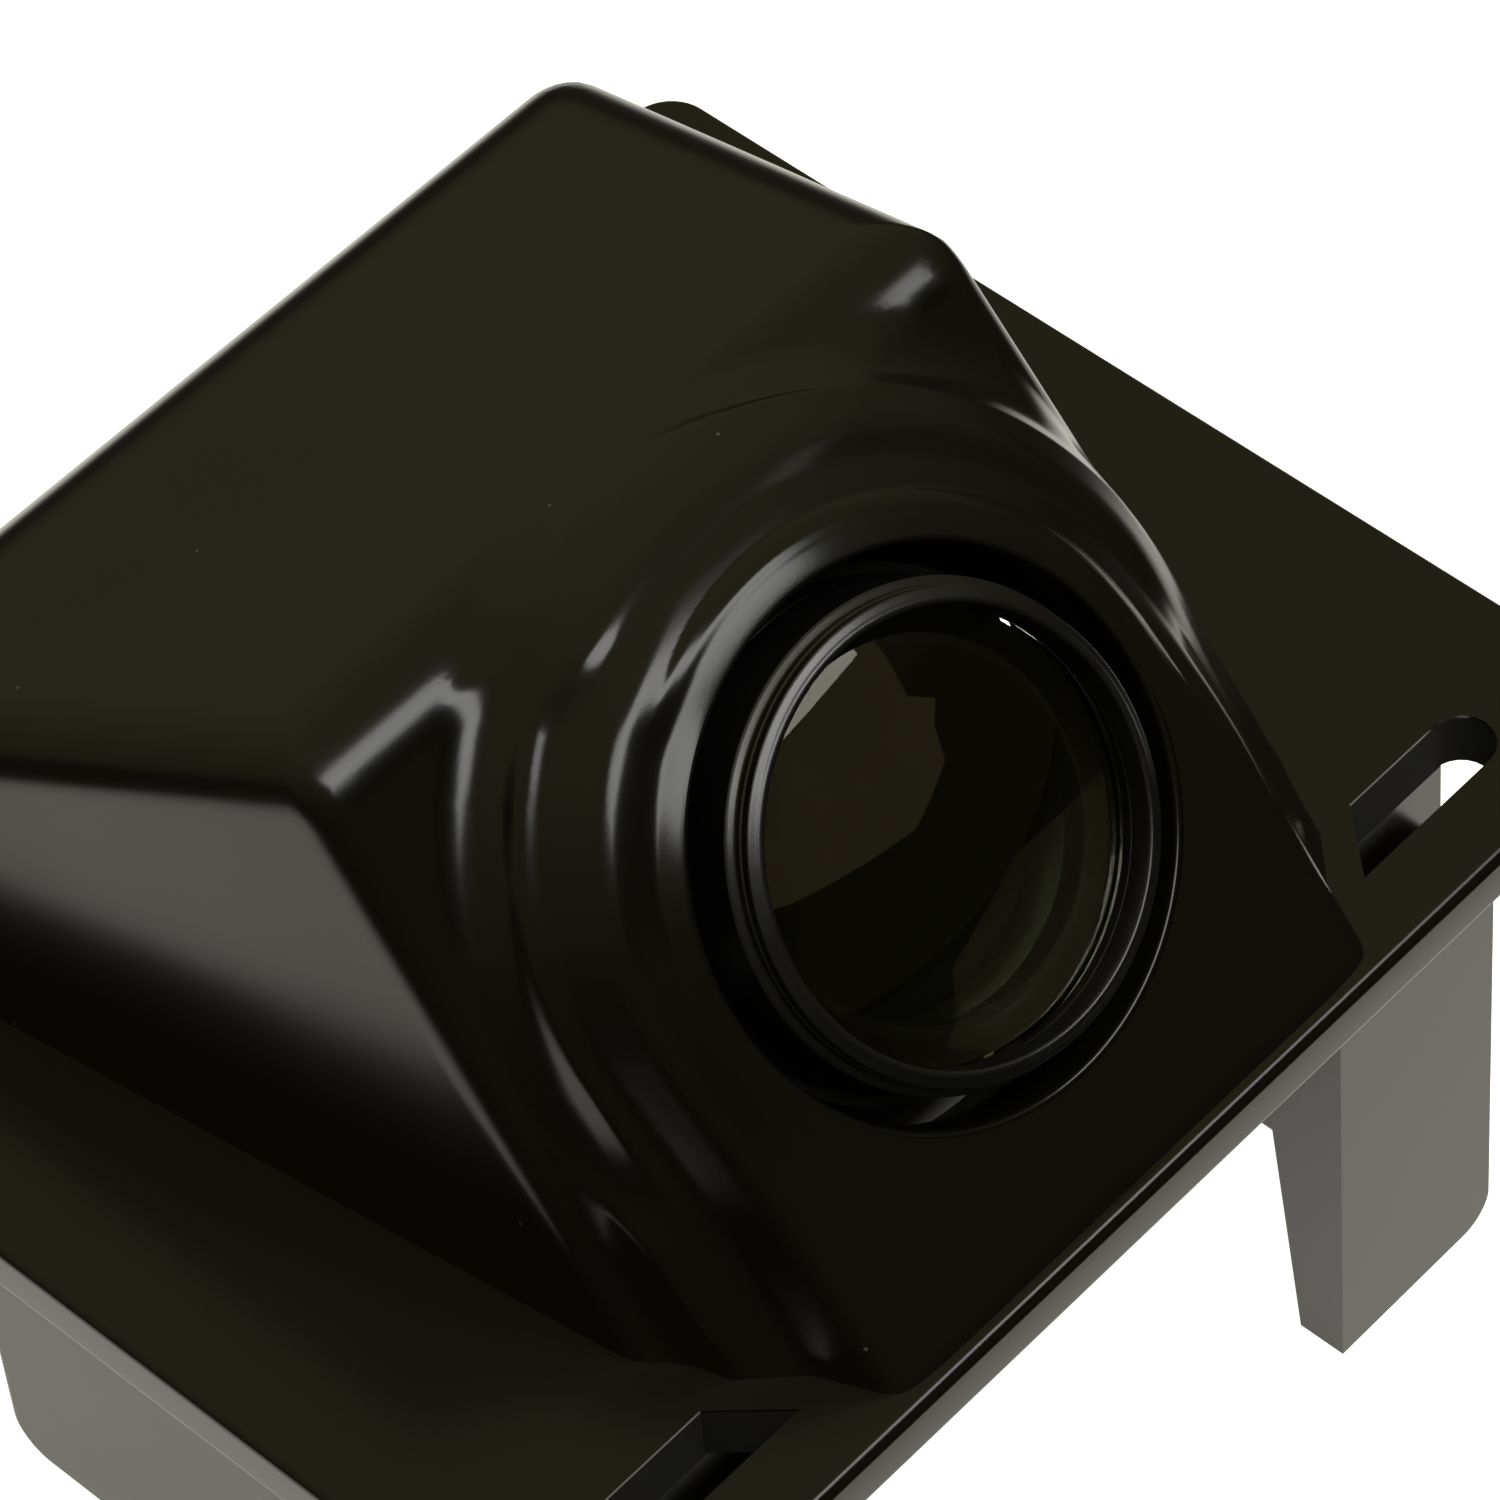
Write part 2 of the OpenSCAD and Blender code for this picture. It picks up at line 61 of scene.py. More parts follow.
# in millimetres; places are from the plate's front edge, its middle or its top
LEG_FRONT, LEG_BACK = 2.45, 31.0
LEG_INNER, LEG_OUTER, LEG_WALL = 10.6, 17.5, 2.0
RETURN_TOP_T, RETURN_FOOT_T = 3.95, 1.65
SLOT_END = 18.2
SLOT_END_R = 1.0
HUMP_DEPTH = 0.6  # how far the hump's solid reaches into the plate
OPENING_FLOOR, POCKET_TOP, POCKET_R = -6.6, -2.2, 8.9  # the well behind the lens opening, from the lens point
SLOT_WALLS = (11.5, 18.3), (-16.9, -14.6), (19.9, 21.9)  # where a slot's walls lie in the part's frame


# ---------------------------------------------------------------- sizes and colours


def linear(hex_colour):
    """An sRGB hex colour as linear red, green and blue."""
    parts = [int(hex_colour[i : i + 2], 16) / 255 for i in (1, 3, 5)]
    return [c / 12.92 if c <= 0.04045 else ((c + 0.055) / 1.055) ** 2.4 for c in parts]


def size(name, text, default_mm):
    """A length property, given in millimetres and held in metres."""
    return FloatProperty(name=name, description=text, default=default_mm * MM, unit="LENGTH", precision=5)


def colour(name, text, hex_colour):
    return FloatVectorProperty(
        name=name, description=text, default=linear(hex_colour), subtype="COLOR", min=0, max=1
    )


class BezelSizes(bpy.types.PropertyGroup):
    leg_h: size("Leg height", "Height of the plate's top over the feet", 22.0)
    plate_t: size("Plate thickness", "Thickness of the plate", 2.0)
    plate_corner_r: size("Plate corners", "Radius of the plate's upright corners", 1.5)
    plate_edge_r: size("Plate edge", "Radius of the plate's top and bottom edges", 0.35)
    ridge_y: size("Ridge place", "From the plate's front edge to the ridge", 18.07)
    ridge_z: size("Ridge height", "Height of the ridge over the plate, before rounding", 15.95)
    ridge_r: size("Ridge", "Radius of the rounded ridge", 2.2)
    face_foot_y: size("Face foot", "From the plate's front edge to the foot of the face", 6.0)
    roof_back_y: size("Roof back place", "From the plate's front edge to the roof's back edge", 37.33)
    roof_back_z: size("Roof back height", "Height of the roof's back edge over the plate", 6.82)
    back_foot_y: size("Back foot", "From the plate's front edge to the foot of the back wall", 38.4)
    side_half_w: size("Half width", "Half width of the wedge at the plate's front edge", 12.55)
    roof_edge_r: size("Roof edges", "Radius of the roof's rounded edges", 1.9)
    face_edge_r: size("Face edges", "Radius of the face's side edges", 1.1)
    wall: size("Wall", "Wall thickness of the wedge", 1.5)
    hole_r: size("Lens opening", "Radius of the opening round the lens", 7.85)
    side_spread: FloatProperty(
        name="Side spread", description="Spread of the side walls towards the back", default=0.136
    )
    side_draft: FloatProperty(
        name="Side draft", description="Lean of the side walls over their height", default=0.153
    )
    columns: IntProperty(name="Columns", description="Mesh columns round the lens", default=384)


class LensSizes(bpy.types.PropertyGroup):
    axis_y: size("Lens place", "From the plate's front edge to the lens point", 7.36)
    axis_z: size("Lens height", "Height of the lens point over the plate", 9.20)
    glass_r: size("Glass", "Radius of the front glass", 6.18)
    glass_curve_r: size("Glass curve", "Radius of curvature of the front glass", 15.0)
    tilt: FloatProperty(
        name="Tilt",
        description="Angle of the optical axis from straight up",
        default=math.radians(52.9),
        subtype="ANGLE",
    )


class CameraColours(bpy.types.PropertyGroup):
    mould: colour("Bezel", "Black ABS with a warm cast", "#14130d")
    case: colour("Module case", "Black glass-filled nylon", "#161615")
    floor: colour("Floor", "Pale floor", "#f2f2f0")


def settings():
    scene = bpy.context.scene
    return scene.camera_bezel, scene.camera_lens, scene.camera_colours


# ---------------------------------------------------------------- nodes and materials


def add_node(tree, kind, links=None, ramp=None, **values):
    """Adds a node, sets its attributes, inputs or two ramp colours, and links its inputs."""
    made = tree.nodes.new(kind)
    if ramp:
        for stop, tone in zip(made.color_ramp.elements, ramp):
            stop.color = [*tone, 1]
    for key, value in values.items():
        if key.startswith("_"):
            made.inputs[key[1:].replace("_", " ")].default_value = value
        else:
            setattr(made, key, value)
    for socket, source in (links or {}).items():
        tree.links.new(source, made.inputs[socket])
    return made


def new_material(name):
    material = bpy.data.materials.new(name)
    material.use_nodes = True
    tree = material.node_tree
    shader = tree.nodes["Principled BSDF"]
    place = add_node(tree, "ShaderNodeTexCoord").outputs["Object"]
    return material, tree, shader, place


def grained(name, base, other, roughness, grain_mm, bump_um, spread=0.04, metallic=0.0):
    """A surface with a fine grain: colour that drifts slowly, roughness and height that follow the grain."""
    material, tree, shader, place = new_material(name)
    drift = add_node(
        tree, "ShaderNodeTexNoise", links={"Vector": place}, _Scale=1 / (6 * MM), _Detail=3.0
    )
    grain = add_node(
        tree, "ShaderNodeTexNoise", links={"Vector": place}, _Scale=1 / (grain_mm * MM), _Detail=4.0
    )
    body = add_node(tree, "ShaderNodeValToRGB", links={"Fac": drift.outputs["Fac"]}, ramp=(base, other))
    tree.links.new(body.outputs["Color"], shader.inputs["Base Color"])
    rough = add_node(
        tree,
        "ShaderNodeMapRange",
        links={"Value": grain.outputs["Fac"]},
        _To_Min=roughness - spread,
        _To_Max=roughness + spread,
    )
    tree.links.new(rough.outputs["Result"], shader.inputs["Roughness"])
    bump = add_node(tree, "ShaderNodeBump", links={"Height": grain.outputs["Fac"]}, _Distance=bump_um * 1e-6)
    tree.links.new(bump.outputs["Normal"], shader.inputs["Normal"])
    shader.inputs["Metallic"].default_value = metallic
    return material


def darker(rgb, share):
    return [c * share for c in rgb]


def bezel_abs():
    # Injection-moulded black ABS from a lightly blasted tool: satin, with soft clear highlights on
    # the edges, a warm cast, a faint flow pattern and a few specks of dust.
    _, _, tones = settings()
    material, tree, shader, place = new_material("moulded_satin_abs")
    flow = add_node(tree, "ShaderNodeTexNoise", links={"Vector": place}, _Scale=1 / (9 * MM), _Detail=2.0)
    # blasted-tool grain is about 0.05 mm; it is drawn at 0.12 mm, so that it shows
    grain = add_node(tree, "ShaderNodeTexNoise", links={"Vector": place}, _Scale=1 / (0.12 * MM), _Detail=3.0)
    body = add_node(
        tree,
        "ShaderNodeValToRGB",
        links={"Fac": flow.outputs["Fac"]},
        ramp=(darker(tones.mould, 0.85), darker(tones.mould, 1.15)),
    )
    # dust specks about 0.1 mm across, one every few millimetres
    cells = add_node(tree, "ShaderNodeTexVoronoi", links={"Vector": place}, _Scale=1 / (3.2 * MM))
    speck = add_node(tree, "ShaderNodeMath", operation="LESS_THAN", links={0: cells.outputs["Distance"]})
    speck.inputs[1].default_value = 0.018
    dust = add_node(tree, "ShaderNodeMix", data_type="RGBA", links={"Factor": speck.outputs[0]})
    tree.links.new(body.outputs["Color"], dust.inputs[6])
    dust.inputs[7].default_value = [*linear("#5d5a4c"), 1]
    tree.links.new(dust.outputs[2], shader.inputs["Base Color"])
    rough = add_node(
        tree,
        "ShaderNodeMapRange",
        links={"Value": flow.outputs["Fac"]},
        _From_Min=0.3,
        _From_Max=0.7,
        _To_Min=0.17,
        _To_Max=0.21,
    )
    # the two slots' walls are formed by unpolished cores, and hold no reflection
    parts = add_node(tree, "ShaderNodeSeparateXYZ", links={"Vector": place})
    across = add_node(tree, "ShaderNodeMath", operation="ABSOLUTE", links={0: parts.outputs["X"]})
    core = None
    for value, (low, high) in zip((across.outputs[0], parts.outputs["Y"], parts.outputs["Z"]), SLOT_WALLS):
        inside = add_node(tree, "ShaderNodeMath", operation="COMPARE", links={0: value})
        inside.inputs[1].default_value = (low + high) / 2 * MM
        inside.inputs[2].default_value = (high - low) / 2 * MM
        if core is not None:
            both = {0: core.outputs[0], 1: inside.outputs[0]}
            core = add_node(tree, "ShaderNodeMath", operation="MULTIPLY", links=both)
        else:
            core = inside
    either = {0: rough.outputs["Result"], 1: core.outputs[0]}
    duller = add_node(tree, "ShaderNodeMath", operation="MAXIMUM", links=either)
    tree.links.new(duller.outputs[0], shader.inputs["Roughness"])
    bump = add_node(
        tree, "ShaderNodeBump", links={"Height": grain.outputs["Fac"]}, _Distance=1.2e-6
    )
    tree.links.new(bump.outputs["Normal"], shader.inputs["Normal"])
    shader.inputs["IOR"].default_value = 1.53
    return material


def case_nylon():
    # Glass-filled nylon, moulded matt: duller than the bezel, with a coarser skin.
    _, _, tones = settings()
    base, other = darker(tones.case, 0.8), darker(tones.case, 1.3)
    return grained("glass_filled_nylon", base, other, 0.52, 0.25, 6, 0.06)


def foam_rubber():
    # Closed-cell EPDM foam, cut from sheet: dull, with fine cells cut open.
    return grained("closed_cell_foam", linear("#0d0d0d"), linear("#191918"), 0.88, 0.35, 40, 0.05)


def nitrile():
    # Moulded nitrile rubber: smooth, dark and slightly oily.
    return grained("nitrile_rubber", linear("#0c0c0d"), linear("#151516"), 0.42, 0.3, 2)


def silicone():
    # Red-brown silicone cord, moulded soft and slightly dusty.
    return grained("silicone_rubber", linear("#6d2a1b"), linear("#7d3422"), 0.55, 0.3, 3)


def anodised_black():
    # Black-anodised aluminium, turned: a dark, silky film of alumina with fine uneven tool marks.
    material, tree, shader, place = new_material("anodised_turned_aluminium")
    marks = add_node(tree, "ShaderNodeTexNoise", links={"Vector": place}, _Scale=1 / (0.08 * MM), _Detail=2.0)
    drift = add_node(tree, "ShaderNodeTexNoise", links={"Vector": place}, _Scale=1 / (1.5 * MM), _Detail=3.0)
    body = add_node(
        tree,
        "ShaderNodeValToRGB",
        links={"Fac": drift.outputs["Fac"]},
        ramp=(linear("#0b0b0b"), linear("#151514")),
    )
    tree.links.new(body.outputs["Color"], shader.inputs["Base Color"])
    rough = add_node(
        tree, "ShaderNodeMapRange", links={"Value": drift.outputs["Fac"]}, _To_Min=0.22, _To_Max=0.36
    )
    tree.links.new(rough.outputs["Result"], shader.inputs["Roughness"])
    bump = add_node(
        tree, "ShaderNodeBump", links={"Height": marks.outputs["Fac"]}, _Distance=2e-6
    )
    tree.links.new(bump.outputs["Normal"], shader.inputs["Normal"])
    shader.inputs["IOR"].default_value = 1.75
    return material


def coated_glass(name, tint, coat_tint, ior=1.5):
    # Polished optical glass with an anti-reflection coating: dark and clear, with a faint tinted gloss.
    # A well coated face mirrors about 1%, which the shader gives at a lower IOR.
    material, tree, shader, place = new_material(name)
    haze = add_node(tree, "ShaderNodeTexNoise", links={"Vector": place}, _Scale=1 / (2.5 * MM), _Detail=2.0)
    rough = add_node(
        tree, "ShaderNodeMapRange", links={"Value": haze.outputs["Fac"]}, _To_Min=0.0, _To_Max=0.03
    )
    tree.links.new(rough.outputs["Result"], shader.inputs["Roughness"])
    body = add_node(
        tree, "ShaderNodeValToRGB", links={"Fac": haze.outputs["Fac"]}, ramp=(tint, darker(tint, 0.96))
    )
    tree.links.new(body.outputs["Color"], shader.inputs["Base Color"])
    shader.inputs["Transmission Weight"].default_value = 1.0
    shader.inputs["IOR"].default_value = ior
    shader.inputs["Specular Tint"].default_value = [*coat_tint, 1]
    return material


def plated_steel():
    # Zinc-plated steel, cold headed: bright grey with a slightly uneven plating.
    return grained(
        "zinc_plated_steel", linear("#9d9fa2"), linear("#b6b8ba"), 0.30, 0.2, 2, 0.06, metallic=1.0
    )


def tinned_sheet():
    # Tinplate, rolled: bright, with a soft cloudy sheen.
    return grained(
        "rolled_tinplate", linear("#b3b3ae"), linear("#cdccc6"), 0.26, 0.5, 1.5, 0.08, metallic=1.0
    )


def gold_plate():
    # Gold flash over nickel on brass pins: warm and smooth.
    return grained("gold_flash", linear("#c49a36"), linear("#d8b452"), 0.22, 0.15, 1, 0.05, metallic=1.0)


def solder_mask():
    # Green solder mask over FR-4 glass laminate: glossy, with the weave just showing.
    material, tree, shader, place = new_material("solder_mask_laminate")
    # laminate yarns lie 0.5 mm apart both ways
    warp = add_node(
        tree, "ShaderNodeTexWave", links={"Vector": place}, _Scale=math.pi / (0.5 * MM) / 10, _Distortion=0.5
    )
    drift = add_node(tree, "ShaderNodeTexNoise", links={"Vector": place}, _Scale=1 / (2 * MM), _Detail=4.0)
    body = add_node(
        tree,
        "ShaderNodeValToRGB",
        links={"Fac": drift.outputs["Fac"]},
        ramp=(linear("#143f22"), linear("#1f5a30")),
    )
    tree.links.new(body.outputs["Color"], shader.inputs["Base Color"])
    bump = add_node(tree, "ShaderNodeBump", links={"Height": warp.outputs["Fac"]}, _Distance=4e-6)
    tree.links.new(bump.outputs["Normal"], shader.inputs["Normal"])
    shader.inputs["Roughness"].default_value = 0.28
    return material


def chip_epoxy():
    # Moulded epoxy of an integrated circuit: matt black with a fine sparkle of filler.
    return grained("moulded_chip_epoxy", linear("#141414"), linear("#1d1d1d"), 0.62, 0.12, 4)


def ceramic():
    # Fired ceramic of small capacitors: tan, with a dry gloss.
    return grained("fired_ceramic", linear("#a58a5e"), linear("#bca277"), 0.45, 0.3, 3)


def connector_nylon():
    # Natural nylon of a board connector, moulded: milky, with soft gloss.
    return grained("moulded_natural_nylon", linear("#cfc8b2"), linear("#ddd7c5"), 0.40, 0.3, 3)


def blackened_spacer():
    # Lens spacer, blackened brass: matt, so that it stops stray light.
    return grained("blackened_brass", linear("#101010"), linear("#191817"), 0.6, 0.15, 3, metallic=0.2)


def paint_nodes(material, *nodes):
    """Gives CAD nodes a material in place of their own."""
    for node in nodes:
        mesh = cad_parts[node].data
        mesh.materials.clear()
        mesh.materials.append(material)


# ---------------------------------------------------------------- shaping helpers


def smooth_step(value):
    t = np.clip(value, 0, 1)
    return t * t * (3 - 2 * t)


def round_and(a, b, r):
    """The space inside both a and b, with a convex edge of radius r where they meet."""
    return np.minimum(-r, np.maximum(a, b)) + np.hypot(np.maximum(r + a, 0), np.maximum(r + b, 0))


def round_or(a, b, r):
    """The space inside a or b, with a fillet of radius r where they meet."""
    return np.maximum(r, np.minimum(a, b)) - np.hypot(np.maximum(r - a, 0), np.maximum(r - b, 0))


def new_piece(name, bm, body, material, replaces=()):
    """A finished piece from a bmesh in millimetres: named and riding on its body."""
    bmesh.ops.scale(bm, vec=(MM, MM, MM), verts=bm.verts)
    mesh = bpy.data.meshes.new(name)
    bm.to_mesh(mesh)
    bm.free()
    mesh.materials.append(material)
    piece = bpy.data.objects.new(name, mesh)
    bpy.context.scene.collection.objects.link(piece)
    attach(piece, body)
    if replaces:
        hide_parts(*replaces)
    return piece


def shade(piece, sharp_deg=38):
    """Smooth shading with sharp creases, and flat faces kept flat by weighted normals."""
    mesh = piece.data
    mesh.shade_smooth()
    mesh.set_sharp_from_angle(angle=math.radians(sharp_deg))
    weighted = piece.modifiers.new("weighted", "WEIGHTED_NORMAL")
    weighted.keep_sharp = True
    weighted.weight = 50


def scratch_object(bm):
    """A throwaway object that holds a bmesh while solids are joined or cut."""
    mesh = bpy.data.meshes.new("scratch")
    bm.to_mesh(mesh)
    bm.free()
    made = bpy.data.objects.new("scratch", mesh)
    bpy.context.scene.collection.objects.link(made)
    return made


def combine(bm, others, operation):
    """Joins or cuts the solid bm with each of the others, and returns the result as a new bmesh."""
    main = scratch_object(bm)
    tools = []
    for other in others:
        tool = scratch_object(other)
        tool.hide_render = True
        modifier = main.modifiers.new("combine", "BOOLEAN")
        modifier.operation = operation
        modifier.solver = "MANIFOLD"
        modifier.object = tool
        tools.append(tool)
    bpy.context.view_layer.update()
    evaluated = main.evaluated_get(bpy.context.evaluated_depsgraph_get())
    mesh = bpy.data.meshes.new_from_object(evaluated)
    result = bmesh.new()
    result.from_mesh(mesh)
    bpy.data.meshes.remove(mesh)
    for used in [main, *tools]:
        data = used.data
        bpy.data.objects.remove(used)
        bpy.data.meshes.remove(data)
    return result


def box_solid(low, high):
    """A box between two corners, in millimetres."""
    bm = bmesh.new()
    bmesh.ops.create_cube(bm, size=1)
    low, high = Vector(low), Vector(high)
    bmesh.ops.scale(bm, vec=high - low, verts=bm.verts)
    bmesh.ops.translate(bm, vec=(low + high) / 2, verts=bm.verts)
    return bm


def prism(outline, start, depth, axis):
    """An outline pushed along an axis. Its two numbers lie on the other two axes, in order."""
    bm = bmesh.new()
    corners = []
    for point in outline:
        place = list(point)
        place.insert(axis, start)
        corners.append(bm.verts.new(place))
    face = bm.faces.new(corners)
    pushed = bmesh.ops.extrude_face_region(bm, geom=[face])
    push = [0, 0, 0]
    push[axis] = depth
    moved = [g for g in pushed["geom"] if isinstance(g, bmesh.types.BMVert)]
    bmesh.ops.translate(bm, vec=push, verts=moved)
    bmesh.ops.recalc_face_normals(bm, faces=bm.faces)
    return bm


def arc(cx, cy, r, start, stop, steps=8):
    angles = [math.radians(start + (stop - start) * i / steps) for i in range(steps + 1)]
    return [(cx + r * math.cos(a), cy + r * math.sin(a)) for a in angles]


def bevel_edges(bm, edges, width, segments):
    bmesh.ops.bevel(
        bm,
        geom=list(edges),
        affect="EDGES",
        offset=width,
        segments=segments,
        profile=0.5,
        material=-1,
        clamp_overlap=True,
    )


def mirrored(make):
    """The shape that make() gives, and the same shape on the other side of the middle."""
    other = make()
    bmesh.ops.scale(other, vec=(-1, 1, 1), verts=other.verts)
    bmesh.ops.reverse_faces(other, faces=other.faces)
    return [make(), other]


def spun(profile, steps=160):
    """A solid of revolution about +Z from a closed profile of (radius, height) points."""
    bm = bmesh.new()
    points = [bm.verts.new((r, 0, z)) for r, z in profile]
    edges = [bm.edges.new((points[i], points[(i + 1) % len(points)])) for i in range(len(points))]
    on_axis = [e for e in edges if all(v.co.x < 1e-6 for v in e.verts)]
    bmesh.ops.delete(bm, geom=on_axis, context="EDGES")
    bmesh.ops.spin(
        bm,
        geom=bm.verts[:] + bm.edges[:],
        cent=(0, 0, 0),
        axis=(0, 0, 1),
        angle=2 * math.pi,
        steps=steps,
        use_merge=True,
    )
    bmesh.ops.remove_doubles(bm, verts=bm.verts, dist=1e-5)
    bmesh.ops.recalc_face_normals(bm, faces=bm.faces)
    return bm


def plate_to_part():
    """From plate coordinates, front edge of the plate's top, to the part's frame, in millimetres."""
    bezel, _, _ = settings()
    return Matrix.Translation((0, BEZEL_LOW.y, bezel.leg_h / MM))


def lens_to_plate():
    """From lens coordinates, +Z out of the lens and +Y up the face, to plate coordinates."""
    _, lens, _ = settings()
    return Matrix.Translation((0, lens.axis_y / MM, lens.axis_z / MM)) @ Matrix.Rotation(lens.tilt, 4, "X")


def to_part(bm, from_lens=False):
    matrix = plate_to_part() @ lens_to_plate() if from_lens else plate_to_part()
    bmesh.ops.transform(bm, matrix=matrix, verts=bm.verts)
    return bm


# ---------------------------------------------------------------- bezel


# Tilt of the boss's skin in degrees at radii in millimetres, from the lip over a shoulder and a
# ledge to its root: for the upper half, for the straight sides below, and towards the ridge
UPPER_TILTS = (
    (7.6, 0), (7.85, 14), (8.1, 30), (8.6, 34), (8.75, 16), (9.1, 12), (9.6, 20), (9.8, 32), (10.0, 36),
    (10.1, 54), (10.2, 61), (10.8, 61), (10.95, 42), (11.05, 34), (11.25, 32), (11.35, 50), (11.45, 75),
    (20.0, 75),
)
LOWER_TILTS = (
    (7.6, 0), (9.2, 7), (9.65, 20), (10.0, 50), (10.2, 62), (10.7, 63), (10.95, 44), (11.3, 38), (12.3, 40),
    (12.45, 75), (20.0, 75),
)
TOP_TILTS = (
    (7.6, 0), (8.1, 20), (8.6, 24), (8.75, 12), (9.1, 12), (9.3, 24), (9.7, 27), (9.9, 46), (10.5, 50),
    (10.6, 29), (10.9, 25), (11.05, 48), (11.3, 58), (20.0, 60),
)


def tilt_profile(tilts):
    """Radii and heights of a skin that falls away at the given tilts."""
    radii = np.linspace(tilts[0][0], tilts[-1][0], 1600)
    angles = np.radians(np.interp(radii, *zip(*tilts)))
    window = np.hanning(25)[1:-1]
    soft = np.convolve(np.pad(angles, 11, "edge"), window / window.sum(), "valid")
    return radii, -np.cumsum(np.tan(soft)) * (radii[1] - radii[0])


class HumpShape:
    """The hump of the bezel as a distance function in millimetres: wedge, lens boss and fillets."""

    def __init__(self, bezel, lens):
        self.b = {k: getattr(bezel, k) / MM for k in bezel.__annotations__ if k != "columns"}
        self.spread, self.draft = bezel.side_spread, bezel.side_draft
        tilt = lens.tilt
        self.out = np.array([0, -math.sin(tilt), math.cos(tilt)])
        self.up = np.array([0, math.cos(tilt), math.sin(tilt)])
        self.centre = np.array([0, lens.axis_y / MM, lens.axis_z / MM])
        self.upper, self.lower, self.top = (tilt_profile(t) for t in (UPPER_TILTS, LOWER_TILTS, TOP_TILTS))

    def plane(self, p, start, end):
        """Distance outside the plane through two (y, z) points, seen from the side."""
        (y0, z0), (y1, z1) = start, end
        run, rise = y1 - y0, z1 - z0
        return (-rise * (p[..., 1] - y0) + run * (p[..., 2] - z0)) / math.hypot(run, rise)

    def roof(self, p):
        b = self.b
        return self.plane(p, (b["ridge_y"], b["ridge_z"]), (b["roof_back_y"], b["roof_back_z"]))

    def side(self, p):
        half = self.b["side_half_w"] + self.spread * p[..., 1] - self.draft * p[..., 2]
        return (np.abs(p[..., 0]) - half) / math.sqrt(1 + self.spread**2 + self.draft**2)

    def wedge(self, p):
        b = self.b
        face = self.plane(p, (b["face_foot_y"], 0), (b["ridge_y"], b["ridge_z"]))
        roof = self.roof(p)
        back = self.plane(p, (b["roof_back_y"], b["roof_back_z"]), (b["back_foot_y"], 0))
        side = self.side(p)
        shape = round_and(round_and(face, roof, b["ridge_r"]), side, b["face_edge_r"])
        shape = np.maximum(shape, round_and(roof, side, b["roof_edge_r"]))
        return np.maximum(round_and(shape, back, b["roof_edge_r"]), -HUMP_DEPTH - p[..., 2])

    def boss_height(self, u, v):
        """Height of the boss over its front plane at a place on the face."""
        reach = np.hypot(u, np.maximum(v, 0)) * (1 + 0.016 * smooth_step(-v / 9))
        # at the top and right the shoulder lies nearer the lens and the flank spreads wider
        wide = np.interp(reach, (0, 8.6, 9.3, 12.1, 30), (0, 8.6, 10.0, 11.7, 29.6))
        out_r = np.maximum(np.hypot(u, v), 1)
        top = smooth_step((v / out_r - 0.76) / 0.16)
        height = (1 - top) * np.interp(reach, *self.upper) + top * np.interp(reach, *self.top)
        right = smooth_step(((u + v) / out_r - 0.2) / 0.8)
        height = (1 - right) * height + right * np.interp(wide, *self.top)
        low = smooth_step((2.0 - v) / 7)
        return (1 - low) * height + low * np.interp(reach, *self.lower)

    def boss(self, p):
        q = p - self.centre
        u, v, h = q[..., 0], q @ self.up, q @ self.out
        step = 0.02
        height = self.boss_height(u, v)
        slope = np.hypot(
            (self.boss_height(u + step, v) - height) / step,
            (self.boss_height(u, v + step) - height) / step,
        )
        rise = (h - height) / np.sqrt(1 + np.minimum(slope, 4) ** 2)
        shape = round_and(rise, 0.08 - p[..., 1], 0.7)
        shape = round_and(shape, self.side(p), 0.9)
        return np.maximum(round_and(shape, self.roof(p), 1.6), -6.5 - h)

    def __call__(self, p):
        # the fillet at the boss's root dies out where boss and wedge share a roof or a side
        depth = np.minimum(-self.roof(p), -self.side(p) + 0.3)
        fillet = 0.02 + 1.2 * smooth_step((depth - 0.15) / 1.5)
        return np.maximum(round_or(self.wedge(p), self.boss(p), fillet), -HUMP_DEPTH - p[..., 2])


def skin_hits(shape, origin, directions, reach=42.0, steps=170):
    """Where rays from inside the shape leave it for good."""
    count = len(directions)
    inside, outside = np.zeros(count), np.full(count, reach)
    for k in range(1, steps):
        t = reach * (1 - k / steps)
        still = (inside == 0) & (shape(origin + directions * t) < 0)
        inside[still] = t
        outside[still] = t + reach / steps
    for _ in range(26):
        middle = (inside + outside) / 2
        within = shape(origin + directions * middle[:, None]) < 0
        inside = np.where(within, middle, inside)
        outside = np.where(within, outside, middle)
    return origin + directions * outside[:, None]


